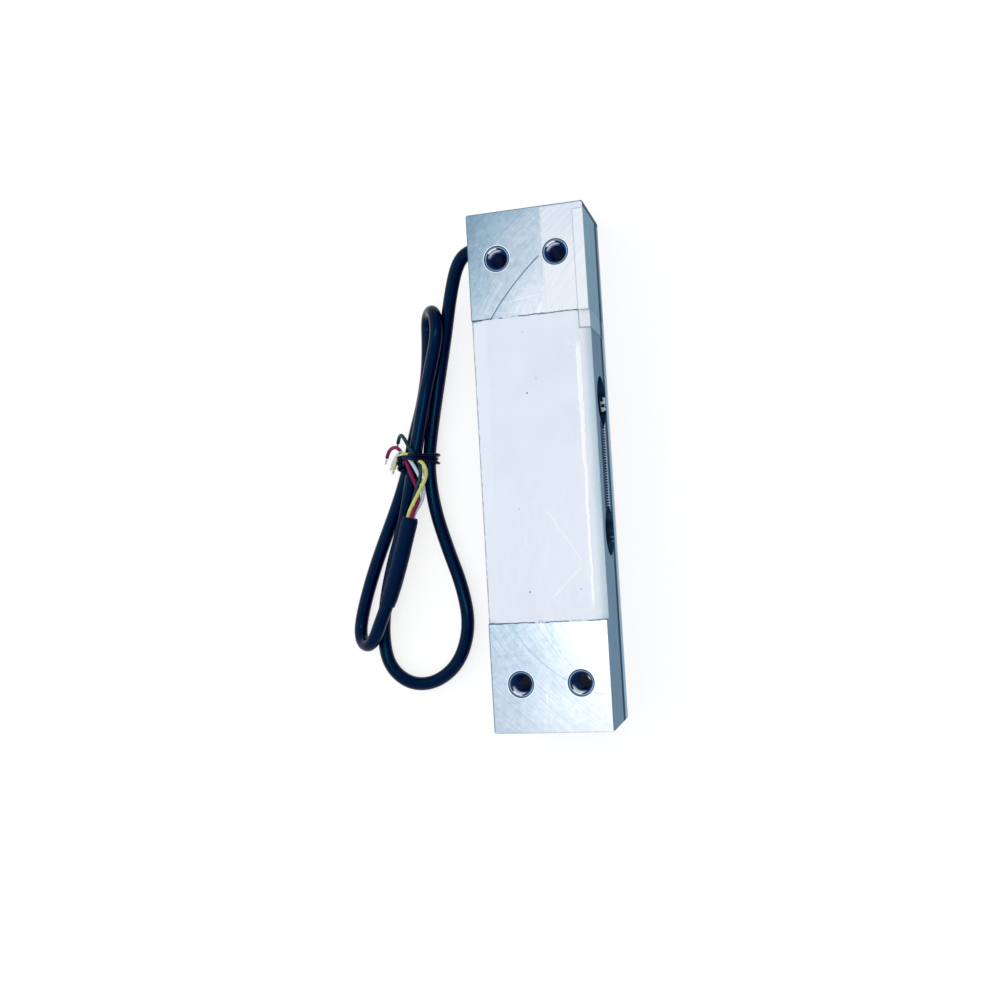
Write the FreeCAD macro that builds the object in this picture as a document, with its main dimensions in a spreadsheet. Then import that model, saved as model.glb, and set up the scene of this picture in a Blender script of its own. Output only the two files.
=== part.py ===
import FreeCAD, Part
import math
import os
import Sketcher
from FreeCAD import Placement, Rotation, Vector

# Single point load cell: a machined aluminium beam with a binocular (dog-bone) flexure,
# four bonded strain gauges under potting compound, a four core cable tied in a bundle,
# a side label and a strip of clear tape.  X across, Y along (+Y at the cable end),
# Z out of the upper face.  Origin at the middle of the beam's underside.

doc = FreeCAD.newDocument("load_cell")
sheet = doc.addObject("Spreadsheet::Sheet", "values")

# ---------------------------------------------------------------- sizes, mm
SIZES = [
    ("beam_length", "130"),
    ("beam_width", "30"),
    ("beam_height", "22"),
    ("half_length", "=beam_length / 2"),
    ("half_width", "=beam_width / 2"),
    ("half_height", "=beam_height / 2"),
    ("edge_break", "0.3"),
    # shallow recess across both faces, filled with potting compound
    ("recess_length", "75.8"),
    ("recess_depth", "1.6"),
    ("recess_end", "=recess_length / 2"),
    ("floor_upper", "=beam_height - recess_depth"),
    # binocular flexure
    ("flex_radius", "6.25"),
    ("flex_pitch", "33"),
    ("flex_at", "=flex_pitch / 2"),
    ("slot_width", "2.6"),
    ("slot_bottom", "=half_height - slot_width / 2"),
    ("slot_top", "=half_height + slot_width / 2"),
    # M6 threaded holes, two at each end
    ("thread_drill", "2.5"),
    ("thread_mouth", "3.45"),
    ("mouth_depth", "0.45"),
    ("bolt_x", "7.5"),
    ("bolt_from_end", "12"),
    ("bolt_y", "=half_length - bolt_from_end"),
    # cable entry in the left side and the passages for the wires
    ("entry_radius", "2.3"),
    ("entry_from_end", "5.7"),
    ("entry_at", "=half_length - entry_from_end"),
    ("entry_past_centre", "2.3"),
    ("entry_depth", "=half_width + entry_past_centre"),
    ("passage_radius", "1.5"),
    ("passage_tilt", "70"),
    ("passage_reach", "=(floor_upper - half_height) / cos(passage_tilt)"),
    ("passage_past", "5.5"),
    ("passage_length", "=passage_reach + passage_past"),
    ("feed_from_wall", "6.9"),
    ("feed_at", "=recess_end - feed_from_wall"),
    ("feed_wire_step", "0.5"),
    # strain gauges, solder terminals, bridge board
    ("gauge_width", "6.4"),
    ("gauge_length", "9.5"),
    ("gauge_thickness", "0.12"),
    ("terminal_width", "6"),
    ("terminal_length", "3"),
    ("terminal_thickness", "0.25"),
    ("terminal_at", "8.4"),
    ("board_width", "12"),
    ("board_length", "14"),
    ("board_thickness", "0.6"),
    ("chip_width", "3.2"),
    ("chip_length", "1.6"),
    ("chip_height", "0.45"),
    ("chip_at", "2.2"),
    # potting compound
    ("crown_drop", "1"),
    ("crown_edge", "=beam_height - crown_drop"),
    ("crown_side", "3.5"),
    ("crown_flat", "=half_width - crown_side"),
    ("crown_blend", "4"),
    ("back_shy", "0.15"),
    ("relief", "0.1"),
    ("lead_lane", "4.5"),
    ("lead_lane_pitch", "0.9"),
    ("jumper_lane", "3.6"),
    ("jumper_lane_pitch", "0.7"),
    ("fan_start", "23.3"),
    ("fan_height", "1.2"),
    ("lane_height", "0.9"),
    # wires, cable, sleeve, tie
    ("jumper_radius", "0.25"),
    ("jumper_side", "1.6"),
    ("landing_gap", "2.3"),
    ("lead_radius", "0.35"),
    ("cable_radius", "1.8"),
    ("seal_shy", "0.2"),
    ("cable_depth", "2.4"),
    ("cable_inner_end", "=half_width - cable_depth"),
    ("cable_stub", "2.2"),
    ("sleeve_thickness", "0.45"),
    ("sleeve_length", "23.6"),
    ("sleeve_overhang", "0.8"),
    ("core_radius", "0.5"),
    ("tip_radius", "0.3"),
    ("tip_length", "2.4"),
    ("tie_width", "2.8"),
    ("tie_thickness", "0.55"),
    ("tie_clearance", "0.12"),
    ("tie_tail_radius", "0.55"),
    ("tie_left", "37.03"),
    ("tie_at", "7.47"),
    ("tie_turn", "9"),
    # label and tape
    ("label_thickness", "0.1"),
    ("label_over_compound", "4.5"),
    ("label_from", "=recess_end - label_over_compound"),
    ("label_short_of_end", "2"),
    ("label_to", "=half_length - label_short_of_end"),
    ("label_low", "3"),
    ("label_corner", "1.4"),
    ("flap_width", "2.7"),
    ("flap_edge", "=half_width - flap_width"),
    ("crown_slope", "=(beam_height - crown_edge) / (half_width - crown_flat)"),
    ("flap_on_crown", "=beam_height - (flap_edge - crown_flat) * crown_slope"),
    ("flap_over_crown", "=flap_on_crown + label_thickness"),
    ("label_top", "=beam_height + label_thickness"),
    ("label_out", "=half_width + label_thickness"),
    ("label_bend_low", "=crown_edge + label_thickness"),
    ("tape_thickness", "0.08"),
    ("tape_short_of_recess", "0.4"),
    ("tape_from", "=recess_end + tape_short_of_recess"),
    ("tape_short_of_end", "0.6"),
    ("tape_to", "=half_length - tape_short_of_end"),
    ("tape_width", "10.8"),
    ("tape_edge", "=half_width - tape_width"),
    ("tape_low", "1.8"),
    ("tape_hole", "3.6"),
    ("tape_top", "=beam_height + tape_thickness"),
    ("tape_over_label", "=label_top + tape_thickness"),
    ("tape_step", "=flap_edge - tape_thickness"),
    ("tape_out", "=half_width + tape_thickness"),
    ("tape_past_label", "=label_out + tape_thickness"),
    ("tape_tuck", "=label_low - tape_thickness"),
]
for line, (name, content) in enumerate(SIZES, 1):
    sheet.set("A%d" % line, name)
    sheet.set("B%d" % line, content)
    sheet.setAlias("B%d" % line, name)
doc.recompute()


def size(name):
    """A sheet value; a leading minus turns its sign."""
    if name.startswith("-"):
        return -float(sheet.get(name[1:]))
    return float(sheet.get(name))


def bound(name):
    """The same value as an expression."""
    if name.startswith("-"):
        return "-values." + name[1:]
    return "values." + name


# ---------------------------------------------------------------- sketch helpers
def new_body(label):
    body = doc.addObject("PartDesign::Body", label)
    body.Label = label
    return body


def new_sketch(body, name, role, offset=None):
    """A sketch on one of the body's own planes, moved along its normal by offset."""
    sk = body.newObject("Sketcher::SketchObject", name)
    plane = [f for f in body.Origin.OriginFeatures if f.Role == role][0]
    sk.AttachmentSupport = (plane, [""])
    sk.MapMode = "FlatFace"
    if offset:
        sk.setExpression("AttachmentOffset.Base.z", offset)
    return sk


def hold_point(sk, geo, pos, across, up):
    """Dimension one point from the sketch origin by two named values."""
    for kind, axis, name in (("DistanceX", -2, across), ("DistanceY", -1, up)):
        if name == "0":
            sk.addConstraint(Sketcher.Constraint("PointOnObject", geo, pos, axis))
            continue
        row = sk.addConstraint(Sketcher.Constraint(kind, -1, 1, geo, pos, size(name)))
        sk.setExpression("Constraints[%d]" % row, bound(name))


def polygon(sk, corners):
    """A closed outline; corners are pairs of value names."""
    at = [Vector(0 if a == "0" else size(a), 0 if b == "0" else size(b), 0) for a, b in corners]
    first = len(sk.Geometry)
    for k in range(len(at)):
        sk.addGeometry(Part.LineSegment(at[k], at[(k + 1) % len(at)]))
    for k, (across, up) in enumerate(corners):
        follow = first + (k + 1) % len(at)
        sk.addConstraint(Sketcher.Constraint("Coincident", first + k, 2, follow, 1))
        hold_point(sk, first + k, 1, across, up)


def circle(sk, across, up, radius):
    centre = Vector(0 if across == "0" else size(across), size(up), 0)
    geo = sk.addGeometry(Part.Circle(centre, Vector(0, 0, 1), size(radius)))
    row = sk.addConstraint(Sketcher.Constraint("Radius", geo, size(radius)))
    sk.setExpression("Constraints[%d]" % row, bound(radius))
    hold_point(sk, geo, 3, across, up)


def pad(body, name, sk, length, both_ways=False):
    feature = body.newObject("PartDesign::Pad", name)
    feature.Profile = sk
    feature.setExpression("Length", length)
    if both_ways:
        feature.SideType = "Symmetric"
    sk.Visibility = False
    return feature


def cut_through(body, name, sk):
    """A pocket right through the body on both sides of the sketch."""
    feature = body.newObject("PartDesign::Pocket", name)
    feature.Profile = sk
    feature.Type = "ThroughAll"
    feature.SideType = "Symmetric"
    sk.Visibility = False
    return feature


def cut_box(body, name, start, extent):
    """A box taken out of the body; start and extent are expressions."""
    box = body.newObject("PartDesign::SubtractiveBox", name)
    for prop, text in zip(("Length", "Width", "Height"), extent):
        box.setExpression(prop, text)
    for axis, text in zip("xyz", start):
        box.setExpression("Placement.Base." + axis, text)
    return box


def block(name, start, extent):
    """A plain rectangular piece; start and extent are expressions."""
    box = doc.addObject("Part::Box", name)
    box.Label = name
    for prop, text in zip(("Length", "Width", "Height"), extent):
        box.setExpression(prop, text)
    for axis, text in zip("xyz", start):
        box.setExpression("Placement.Base." + axis, text)
    return box


def edge_names(shape, test):
    return ["Edge%d" % (k + 1) for k, edge in enumerate(shape.Edges) if test(edge)]


# ---------------------------------------------------------------- beam
beam = new_body("beam")
side = new_sketch(beam, "side_outline", "YZ_Plane")
polygon(side, [
    ("-half_length", "0"), ("-recess_end", "0"), ("-recess_end", "recess_depth"),
    ("recess_end", "recess_depth"), ("recess_end", "0"), ("half_length", "0"),
    ("half_length", "beam_height"), ("recess_end", "beam_height"),
    ("recess_end", "floor_upper"), ("-recess_end", "floor_upper"),
    ("-recess_end", "beam_height"), ("-half_length", "beam_height"),
])
bar = pad(beam, "bar", side, "values.beam_width", True)

# the binocular flexure: two large bores joined by a slot
bores = new_sketch(beam, "flexure_bores", "YZ_Plane")
circle(bores, "-flex_at", "half_height", "flex_radius")
circle(bores, "flex_at", "half_height", "flex_radius")
cut_through(beam, "flexure_bore_cut", bores)
slot = new_sketch(beam, "flexure_slot", "YZ_Plane")
polygon(slot, [
    ("-flex_at", "slot_bottom"), ("flex_at", "slot_bottom"),
    ("flex_at", "slot_top"), ("-flex_at", "slot_top"),
])
cut_through(beam, "flexure_slot_cut", slot)

# mounting threads and the hole between the two recesses
drills = new_sketch(beam, "thread_drills", "XY_Plane")
for end in ("", "-"):
    for across in ("", "-"):
        circle(drills, across + "bolt_x", end + "bolt_y", "thread_drill")
circle(drills, "0", "-feed_at", "passage_radius")
cut_through(beam, "thread_drill_cut", drills)

# cable entry from the left side, then a slanting passage up to the gauges
entry = new_sketch(beam, "cable_entry", "YZ_Plane", "-values.half_width")
circle(entry, "entry_at", "half_height", "entry_radius")
entry_cut = beam.newObject("PartDesign::Pocket", "cable_entry_cut")
entry_cut.Profile = entry
entry_cut.setExpression("Length", "values.entry_depth")
entry_cut.Reversed = True
passage = beam.newObject("PartDesign::SubtractiveCylinder", "wire_passage")
passage.setExpression("Radius", "values.passage_radius")
passage.setExpression("Height", "values.passage_length")
passage.Placement = Placement(
    Vector(0, size("entry_at"), size("half_height")),
    Rotation(Vector(1, 0, 0), size("passage_tilt")))
passage.setExpression("Placement.Base.y", "values.entry_at")
passage.setExpression("Placement.Base.z", "values.half_height")
passage.setExpression("Placement.Rotation.Angle", "values.passage_tilt")
doc.recompute()


# countersunk mouths of the threaded holes, on both faces
MOUTHS = {
    "upper": ("values.beam_height - values.mouth_depth", "thread_drill", "thread_mouth"),
    "lower": ("0 mm", "thread_mouth", "thread_drill"),
}
for face, (from_z, low_radius, high_radius) in MOUTHS.items():
    for end in ("", "-"):
        for across in ("", "-"):
            mouth = beam.newObject("PartDesign::SubtractiveCone", "thread_mouth_" + face)
            mouth.setExpression("Radius1", "values." + low_radius)
            mouth.setExpression("Radius2", "values." + high_radius)
            mouth.setExpression("Height", "values.mouth_depth")
            mouth.setExpression("Placement.Base.x", across + "values.bolt_x")
            mouth.setExpression("Placement.Base.y", end + "values.bolt_y")
            mouth.setExpression("Placement.Base.z", from_z)
doc.recompute()


def is_block_edge(edge):
    """Straight outer edges of the two end blocks."""
    if hasattr(edge.Curve, "Radius"):
        return False
    box = edge.BoundBox
    at_side = min(abs(box.XMin - size("half_width")), abs(box.XMax + size("half_width"))) < 0.01
    at_end = min(abs(box.YMin - size("half_length")), abs(box.YMax + size("half_length"))) < 0.01
    at_face = min(abs(box.ZMin - size("beam_height")), abs(box.ZMax)) < 0.01
    flat_x = box.XLength < 0.01
    flat_y = box.YLength < 0.01
    flat_z = box.ZLength < 0.01
    if at_face and flat_z and at_end and flat_y:
        return True
    if at_side and flat_x and at_end and flat_y:
        return True
    return at_face and flat_z and at_side and flat_x


breaks = beam.newObject("PartDesign::Chamfer", "edge_breaks")
breaks.Base = (mouth, edge_names(mouth.Shape, is_block_edge))
breaks.setExpression("Size", "values.edge_break")
doc.recompute()

# ---------------------------------------------------------------- gauges and bridge
floors = {
    "front": ("values.floor_upper", "values.floor_upper"),
    "back": ("values.recess_depth - values.gauge_thickness",
             "values.recess_depth - values.terminal_thickness"),
}
pieces = []
for face, (gauge_z, terminal_z) in floors.items():
    for end, sign in (("cable", ""), ("load", "-")):
        pieces.append(block(
            "gauge_%s_%s" % (face, end),
            ("-values.gauge_width / 2", sign + "values.flex_at - values.gauge_length / 2", gauge_z),
            ("values.gauge_width", "values.gauge_length", "values.gauge_thickness")))
        near = "values.terminal_at"
        if sign:
            near = "-values.terminal_at - values.terminal_length"
        pieces.append(block(
            "terminal_%s_%s" % (face, end),
            ("-values.terminal_width / 2", near, terminal_z),
            ("values.terminal_width", "values.terminal_length", "values.terminal_thickness")))

board = block(
    "bridge_board",
    ("-values.board_width / 2", "-values.board_length / 2", "values.floor_upper"),
    ("values.board_width", "values.board_length", "values.board_thickness"))
pieces.append(board)
chips = []
for name, at in (("chip_a", "values.chip_at"), ("chip_b", "-values.chip_at")):
    chips.append(block(
        name,
        ("-values.chip_width / 2", at + " - values.chip_length / 2",
         "values.floor_upper + values.board_thickness"),
        ("values.chip_width", "values.chip_length", "values.chip_height")))
resistors = doc.addObject("Part::Compound", "trim_resistors")
resistors.Label = "trim_resistors"
resistors.Links = chips
pieces.append(resistors)


# ---------------------------------------------------------------- potting compound
def compound(label, outline, hollows):
    """A bar of compound across one recess, hollow over the gauges and wires."""
    body = new_body(label)
    section = new_sketch(body, label + "_section", "XZ_Plane")
    polygon(section, outline)
    feature = pad(body, label + "_bar", section, "values.recess_length", True)
    doc.recompute()
    if "crown_edge" in [b for a, b in outline]:
        crown = body.newObject("PartDesign::Fillet", label + "_crown")
        crown.Base = (feature, edge_names(feature.Shape, is_crown_ridge))
        crown.setExpression("Radius", "values.crown_blend")
    for k, (start, extent) in enumerate(hollows):
        cut_box(body, "%s_hollow_%d" % (label, k), start, extent)
    return body


def is_crown_ridge(edge):
    box = edge.BoundBox
    at_ridge = abs(abs(box.XMin) - size("crown_flat")) < 0.01
    return at_ridge and box.XLength < 0.01 and box.YLength > 1


GAUGE_BAY = ("values.gauge_width + 2 * values.relief",
             "values.flex_pitch + values.gauge_length + 2 * values.relief",
             "values.gauge_thickness + values.relief")
front_hollows = [
    # over the gauges
    (("-values.gauge_width / 2 - values.relief",
      "-values.flex_at - values.gauge_length / 2 - values.relief", "values.floor_upper"),
     GAUGE_BAY),
    # over the terminals and short jumpers
    (("-values.gauge_width / 2 - values.relief",
      "-values.terminal_at - values.terminal_length - values.relief", "values.floor_upper"),
     ("values.gauge_width + 2 * values.relief",
      "2 * (values.terminal_at + values.terminal_length + values.relief)", "values.lane_height")),
    # over the board
    (("-values.board_width / 2 - values.relief", "-values.board_length / 2 - values.relief",
      "values.floor_upper"),
     ("values.board_width + 2 * values.relief", "values.board_length + 2 * values.relief",
      "values.board_thickness + values.chip_height + values.relief")),
    # where the leads fan out of the slanting passage
    (("-values.board_width / 2", "values.fan_start", "values.floor_upper"),
     ("values.board_width", "values.recess_end - values.fan_start", "values.fan_height")),
    # where the long jumpers gather to the hole through the beam
    (("-values.board_width / 2", "-values.feed_at - values.passage_radius", "values.floor_upper"),
     ("values.board_width", "values.feed_at + values.passage_radius - values.fan_start",
      "values.fan_height")),
]
for start_x in ("-values.board_width / 2", "values.gauge_width / 2 + values.relief"):
    # lanes beside the gauges
    front_hollows.append(
        ((start_x, "-values.fan_start", "values.floor_upper"),
         ("values.board_width / 2 - values.gauge_width / 2 - values.relief",
          "2 * values.fan_start", "values.fan_height")))
compound("sealant_front", [
    ("-half_width", "floor_upper"), ("half_width", "floor_upper"),
    ("half_width", "crown_edge"), ("crown_flat", "beam_height"),
    ("-crown_flat", "beam_height"), ("-half_width", "crown_edge"),
], front_hollows)

lane_low = "values.recess_depth - values.lane_height"
back_hollows = [
    (("-values.gauge_width / 2 - values.relief",
      "-values.flex_at - values.gauge_length / 2 - values.relief",
      "values.recess_depth - values.gauge_thickness - values.relief"), GAUGE_BAY),
    (("-values.board_width / 2", "-values.feed_at - values.passage_radius", lane_low),
     ("values.board_width", "values.feed_at + values.passage_radius - values.fan_start",
      "values.lane_height")),
]
for near in ("values.terminal_at - values.relief",
             "-values.terminal_at - values.terminal_length - values.relief"):
    back_hollows.append(
        (("-values.board_width / 2", near, lane_low),
         ("values.board_width", "values.terminal_length + 2 * values.relief",
          "values.lane_height")))
for start_x in ("-values.board_width / 2", "values.gauge_width / 2 + values.relief"):
    back_hollows.append(
        ((start_x, "-values.fan_start", lane_low),
         ("values.board_width / 2 - values.gauge_width / 2 - values.relief",
          "values.fan_start + values.terminal_at + values.terminal_length + values.relief",
          "values.lane_height")))
compound("sealant_back", [
    ("-half_width", "back_shy"), ("half_width", "back_shy"),
    ("half_width", "recess_depth"), ("-half_width", "recess_depth"),
], back_hollows)

# ---------------------------------------------------------------- label and clear tape
label = new_body("label_side")
for name, far, near, corners in (
        ("on_compound", "values.recess_end", "values.label_from",
         [("flap_edge", "flap_on_crown"), ("half_width", "crown_edge"),
          ("half_width", "label_low"), ("label_out", "label_low"),
          ("label_out", "label_bend_low"), ("flap_edge", "flap_over_crown")]),
        ("on_block", "values.label_to", "values.recess_end",
         [("flap_edge", "beam_height"), ("half_width", "beam_height"),
          ("half_width", "label_low"), ("label_out", "label_low"),
          ("label_out", "label_top"), ("flap_edge", "label_top")])):
    section = new_sketch(label, "label_" + name, "XZ_Plane", "-" + far)
    polygon(section, corners)
    last_pad = pad(label, "label_pad_" + name, section, far + " - " + near)
doc.recompute()


def is_label_corner(edge):
    """The short edges through the sheet at its lower corners and its far flap corner."""
    box = edge.BoundBox
    short = edge.Length < 1.1 * size("label_thickness") and box.YLength < 0.01
    at_far_end = abs(box.YMax - size("label_to")) < 0.01
    at_end = at_far_end or abs(box.YMin - size("label_from")) < 0.01
    at_low = abs(box.ZMax - size("label_low")) < 0.01
    at_flap = abs(box.XMin - size("flap_edge")) < 0.01
    return short and ((at_low and at_end) or (at_flap and at_far_end and box.XLength < 0.01))


rounding = label.newObject("PartDesign::Fillet", "label_corners")
rounding.Base = (last_pad, edge_names(last_pad.Shape, is_label_corner))
print("label corners", len(rounding.Base[1]))
rounding.setExpression("Radius", "values.label_corner")

tape = new_body("clear_tape")
section = new_sketch(tape, "tape_section", "XZ_Plane", "-values.tape_to")
polygon(section, [
    ("tape_edge", "beam_height"), ("flap_edge", "beam_height"), ("flap_edge", "label_top"),
    ("label_out", "label_top"), ("label_out", "label_low"), ("half_width", "label_low"),
    ("half_width", "tape_low"), ("tape_out", "tape_low"), ("tape_out", "tape_tuck"),
    ("tape_past_label", "tape_tuck"), ("tape_past_label", "tape_over_label"),
    ("tape_step", "tape_over_label"), ("tape_step", "tape_top"), ("tape_edge", "tape_top"),
])
pad(tape, "tape_sheet", section, "values.tape_to - values.tape_from")
opening = new_sketch(tape, "tape_opening", "XY_Plane")
circle(opening, "bolt_x", "bolt_y", "tape_hole")
cut_through(tape, "tape_opening_cut", opening)

# ---------------------------------------------------------------- tubes along a route
def route_edges(points, largest=1000.0):
    """Straight runs joined by tangent arcs; each arc takes 0.45 of the shorter run,
    and no more than the largest trim."""
    at = [Vector(*p) for p in points]
    edges = []
    radii = []
    start = at[0]
    for k in range(1, len(at) - 1):
        arriving = at[k] - at[k - 1]
        leaving = at[k + 1] - at[k]
        trim = min(0.45 * min(arriving.Length, leaving.Length), largest)
        turn = arriving.getAngle(leaving)
        arriving.normalize()
        leaving.normalize()
        bend_in = at[k] - arriving * trim
        bend_out = at[k] + leaving * trim
        radius = trim / math.tan(turn / 2)
        toward = leaving - arriving
        toward.normalize()
        centre = at[k] + toward * (radius / math.cos(turn / 2))
        middle = centre - toward * radius
        edges.append(Part.LineSegment(start, bend_in).toShape())
        edges.append(Part.Arc(bend_in, middle, bend_out).toShape())
        radii.append(radius)
        start = bend_out
    edges.append(Part.LineSegment(start, at[-1]).toShape())
    return edges, radii


def sweep(edges, radius):
    start = edges[0].Vertexes[0].Point
    heading = edges[0].tangentAt(edges[0].FirstParameter)
    ring = Part.Wire([Part.Circle(start, heading, radius).toShape()])
    return Part.Wire(edges).makePipeShell([ring], True, False)


def last_part(edges, length):
    """The end of a route, from a point that lies this far before its end."""
    kept = []
    left = length
    for edge in reversed(edges):
        if edge.Length < left:
            kept.insert(0, edge)
            left -= edge.Length
            continue
        cut_at = edge.getParameterByLength(edge.Length - left)
        kept.insert(0, edge.Curve.toShape(cut_at, edge.LastParameter))
        break
    return kept


def show(name, shape):
    piece = doc.addObject("Part::Feature", name)
    piece.Label = name
    piece.Shape = shape
    piece.Placement = Placement()
    pieces.append(piece)
    return piece


# ---------------------------------------------------------------- wires inside the beam
floor_z = size("floor_upper")
lead_r = size("lead_radius")
jumper_r = size("jumper_radius")
board_end = size("board_length") / 2
entry_y = size("entry_at")
mid_z = size("half_height")
slope = math.radians(90 - size("passage_tilt"))
lead_spread = 1.2 * lead_r
lead_bend = 1.2
jumper_bend = 0.6
passage_reach = size("passage_reach")
landing_y = entry_y - passage_reach * math.cos(slope) - size("landing_gap")
fan_y = size("fan_start") + lead_bend
hand = 0.01
lie_z = floor_z + lead_r + hand


def passage_point(distance, side_step, up_step):
    """A point in the slanting passage, off its axis by two small steps."""
    return (side_step,
            entry_y - distance * math.cos(slope) + up_step * math.sin(slope),
            mid_z + distance * math.sin(slope) + up_step * math.cos(slope))


leads = []
for across in (-1, 1):
    for level in (-1, 1):
        off_x = across * lead_spread
        off_z = level * lead_spread
        lane = size("lead_lane")
        if level > 0:
            lane += size("lead_lane_pitch")
        route = [
            (-size("cable_inner_end"), entry_y + off_x, mid_z + off_z),
            (off_x, entry_y + off_x, mid_z + off_z),
            passage_point(passage_reach, off_x, off_z),
        ]
        if level < 0:
            route.append((off_x, landing_y, lie_z))
        route.append((across * lane, fan_y + level, lie_z))
        route.append((across * lane, board_end, lie_z))
        leads.append(sweep(route_edges(route, lead_bend)[0], lead_r))
show("bridge_leads", Part.makeCompound(leads))

# short jumpers from the board to the terminals on the upper face
jumper_z = floor_z + size("terminal_thickness") + jumper_r
reach = size("terminal_at") + size("terminal_length") / 2
jumpers = []
for end in (1, -1):
    for across in (-size("jumper_side"), size("jumper_side")):
        line = Part.LineSegment(Vector(across, end * board_end, jumper_z),
                                Vector(across, end * reach, jumper_z))
        jumpers.append(sweep([line.toShape()], jumper_r))
show("jumpers_front", Part.makeCompound(jumpers))

# long jumpers from the board, through the beam, to the terminals on the lower face
under_z = size("recess_depth") - size("terminal_thickness") - jumper_r
step = size("feed_wire_step")
gather = -size("fan_start") - 0.8
jumpers = []
for across in (-1, 1):
    for level in (0, 1):
        over_z = floor_z + jumper_r + hand + level * (2 * jumper_r + 2 * hand)
        hole_y = -size("feed_at") + step - 2 * step * level
        lane = across * size("jumper_lane")
        under = across * (size("jumper_lane") + level * size("jumper_lane_pitch"))
        end_y = -reach
        if level:
            end_y = reach
        route = [
            (lane, -board_end, over_z),
            (lane, gather, over_z),
            (across * step, hole_y, over_z),
            (across * step, hole_y, under_z),
            (under, gather, under_z),
            (under, end_y, under_z),
            (across * 2.0, end_y, under_z),
        ]
        jumpers.append(sweep(route_edges(route, jumper_bend)[0], jumper_r))
show("jumpers_back", Part.makeCompound(jumpers))

# ---------------------------------------------------------------- cable
seal_length = "values.half_width - values.seal_shy - values.cable_inner_end"
rings = []
for name, radius in (("seal_outer", "values.entry_radius"), ("seal_bore", "values.cable_radius")):
    ring = doc.addObject("Part::Cylinder", name)
    ring.Placement = Placement(Vector(0, 0, 0), Rotation(Vector(0, 1, 0), 90))
    ring.setExpression("Radius", radius)
    ring.setExpression("Height", seal_length)
    ring.setExpression("Placement.Base.x", "values.seal_shy - values.half_width")
    ring.setExpression("Placement.Base.y", "values.entry_at")
    ring.setExpression("Placement.Base.z", "values.half_height")
    rings.append(ring)
seal = doc.addObject("Part::Cut", "cable_seal")
seal.Label = "cable_seal"
seal.Base, seal.Tool = rings
pieces.append(seal)

# The route starts inside the entry, runs down beside the bundle, round the long loop,
# up through the tie, round the upper fold, back through the tie and round the short loop.
CABLE_ROUTE = [
    (-size("cable_inner_end"), entry_y, mid_z),
    (-size("half_width") - size("cable_stub"), entry_y, mid_z),
    (-21, 56.6, 10.6), (-24, 49, 8.5), (-27, 38.8, 5.2),
    (-30.1, 27.6, 3.2), (-32.8, 15.6, 2.8), (-34.4, 4.6, 2.8), (-33.3, -7, 2),
    (-30.4, -18, 1.8), (-27.1, -29.3, 1.8), (-25.8, -39.6, 1.8), (-29, -49, 1.8),
    (-35.8, -54.3, 1.8), (-43.4, -54.6, 1.8), (-49.3, -49.6, 1.8), (-50.6, -41.2, 1.8),
    (-49.4, -32, 1.8), (-47, -22.8, 1.9), (-43.5, -13.6, 2.7), (-40, -3.8, 4.8),
    (-37.4, 6.2, 5.8), (-35.2, 16, 6.1), (-33, 25, 6.4), (-30.4, 33.6, 7.8),
    (-29.1, 38.2, 8.7), (-28.9, 42.7, 9.1), (-30.1, 45.3, 7.1), (-31.9, 45.3, 3.9),
    (-33.1, 42.7, 1.8), (-33.2, 37, 1.8), (-33.9, 29, 1.8), (-35.8, 20.6, 1.8),
    (-38.3, 12.4, 2.5), (-40.1, 4.8, 2.8), (-42.6, -2, 2.4), (-46, -9.4, 1.8),
    (-49.8, -17.6, 1.8), (-53.2, -25.8, 1.8), (-56.1, -34.4, 1.8), (-57.2, -39.8, 1.8),
    (-56, -42.9, 3.3), (-53.4, -43.5, 5.5), (-51, -41.5, 6.9), (-49.1, -37, 6.9),
    (-46.1, -30.2, 6.4), (-42.5, -20, 6.3), (-39.4, -10.4, 6.9),
]
cable_r = size("cable_radius")
cable_edges, cable_radii = route_edges(CABLE_ROUTE)
cable_length = sum(edge.Length for edge in cable_edges)
cable = show("cable", sweep(cable_edges, cable_r))
print("cable length %.1f, bend radii:" % cable_length, [round(r, 1) for r in cable_radii])
print("cable volume %.0f, section times length %.0f"
      % (cable.Shape.Volume, math.pi * cable_r ** 2 * cable_length))

# heat shrink sleeve over the end of the jacket
sleeve_edges = last_part(cable_edges, size("sleeve_length"))
tail = sleeve_edges[-1]
past = Vector(*CABLE_ROUTE[-1]) - Vector(*CABLE_ROUTE[-2])
past.normalize()
jacket_end = Vector(*CABLE_ROUTE[-1])
overhang_end = jacket_end + past * size("sleeve_overhang")
outer_r = cable_r + size("sleeve_thickness")
wrapped = sweep(sleeve_edges[:-1] + [Part.LineSegment(
    tail.firstVertex().Point, overhang_end).toShape()], outer_r)
hollow = sweep(sleeve_edges[:-1] + [Part.LineSegment(
    tail.firstVertex().Point, overhang_end).toShape()], cable_r + hand)
show("heat_shrink", wrapped.cut(hollow))

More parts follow.
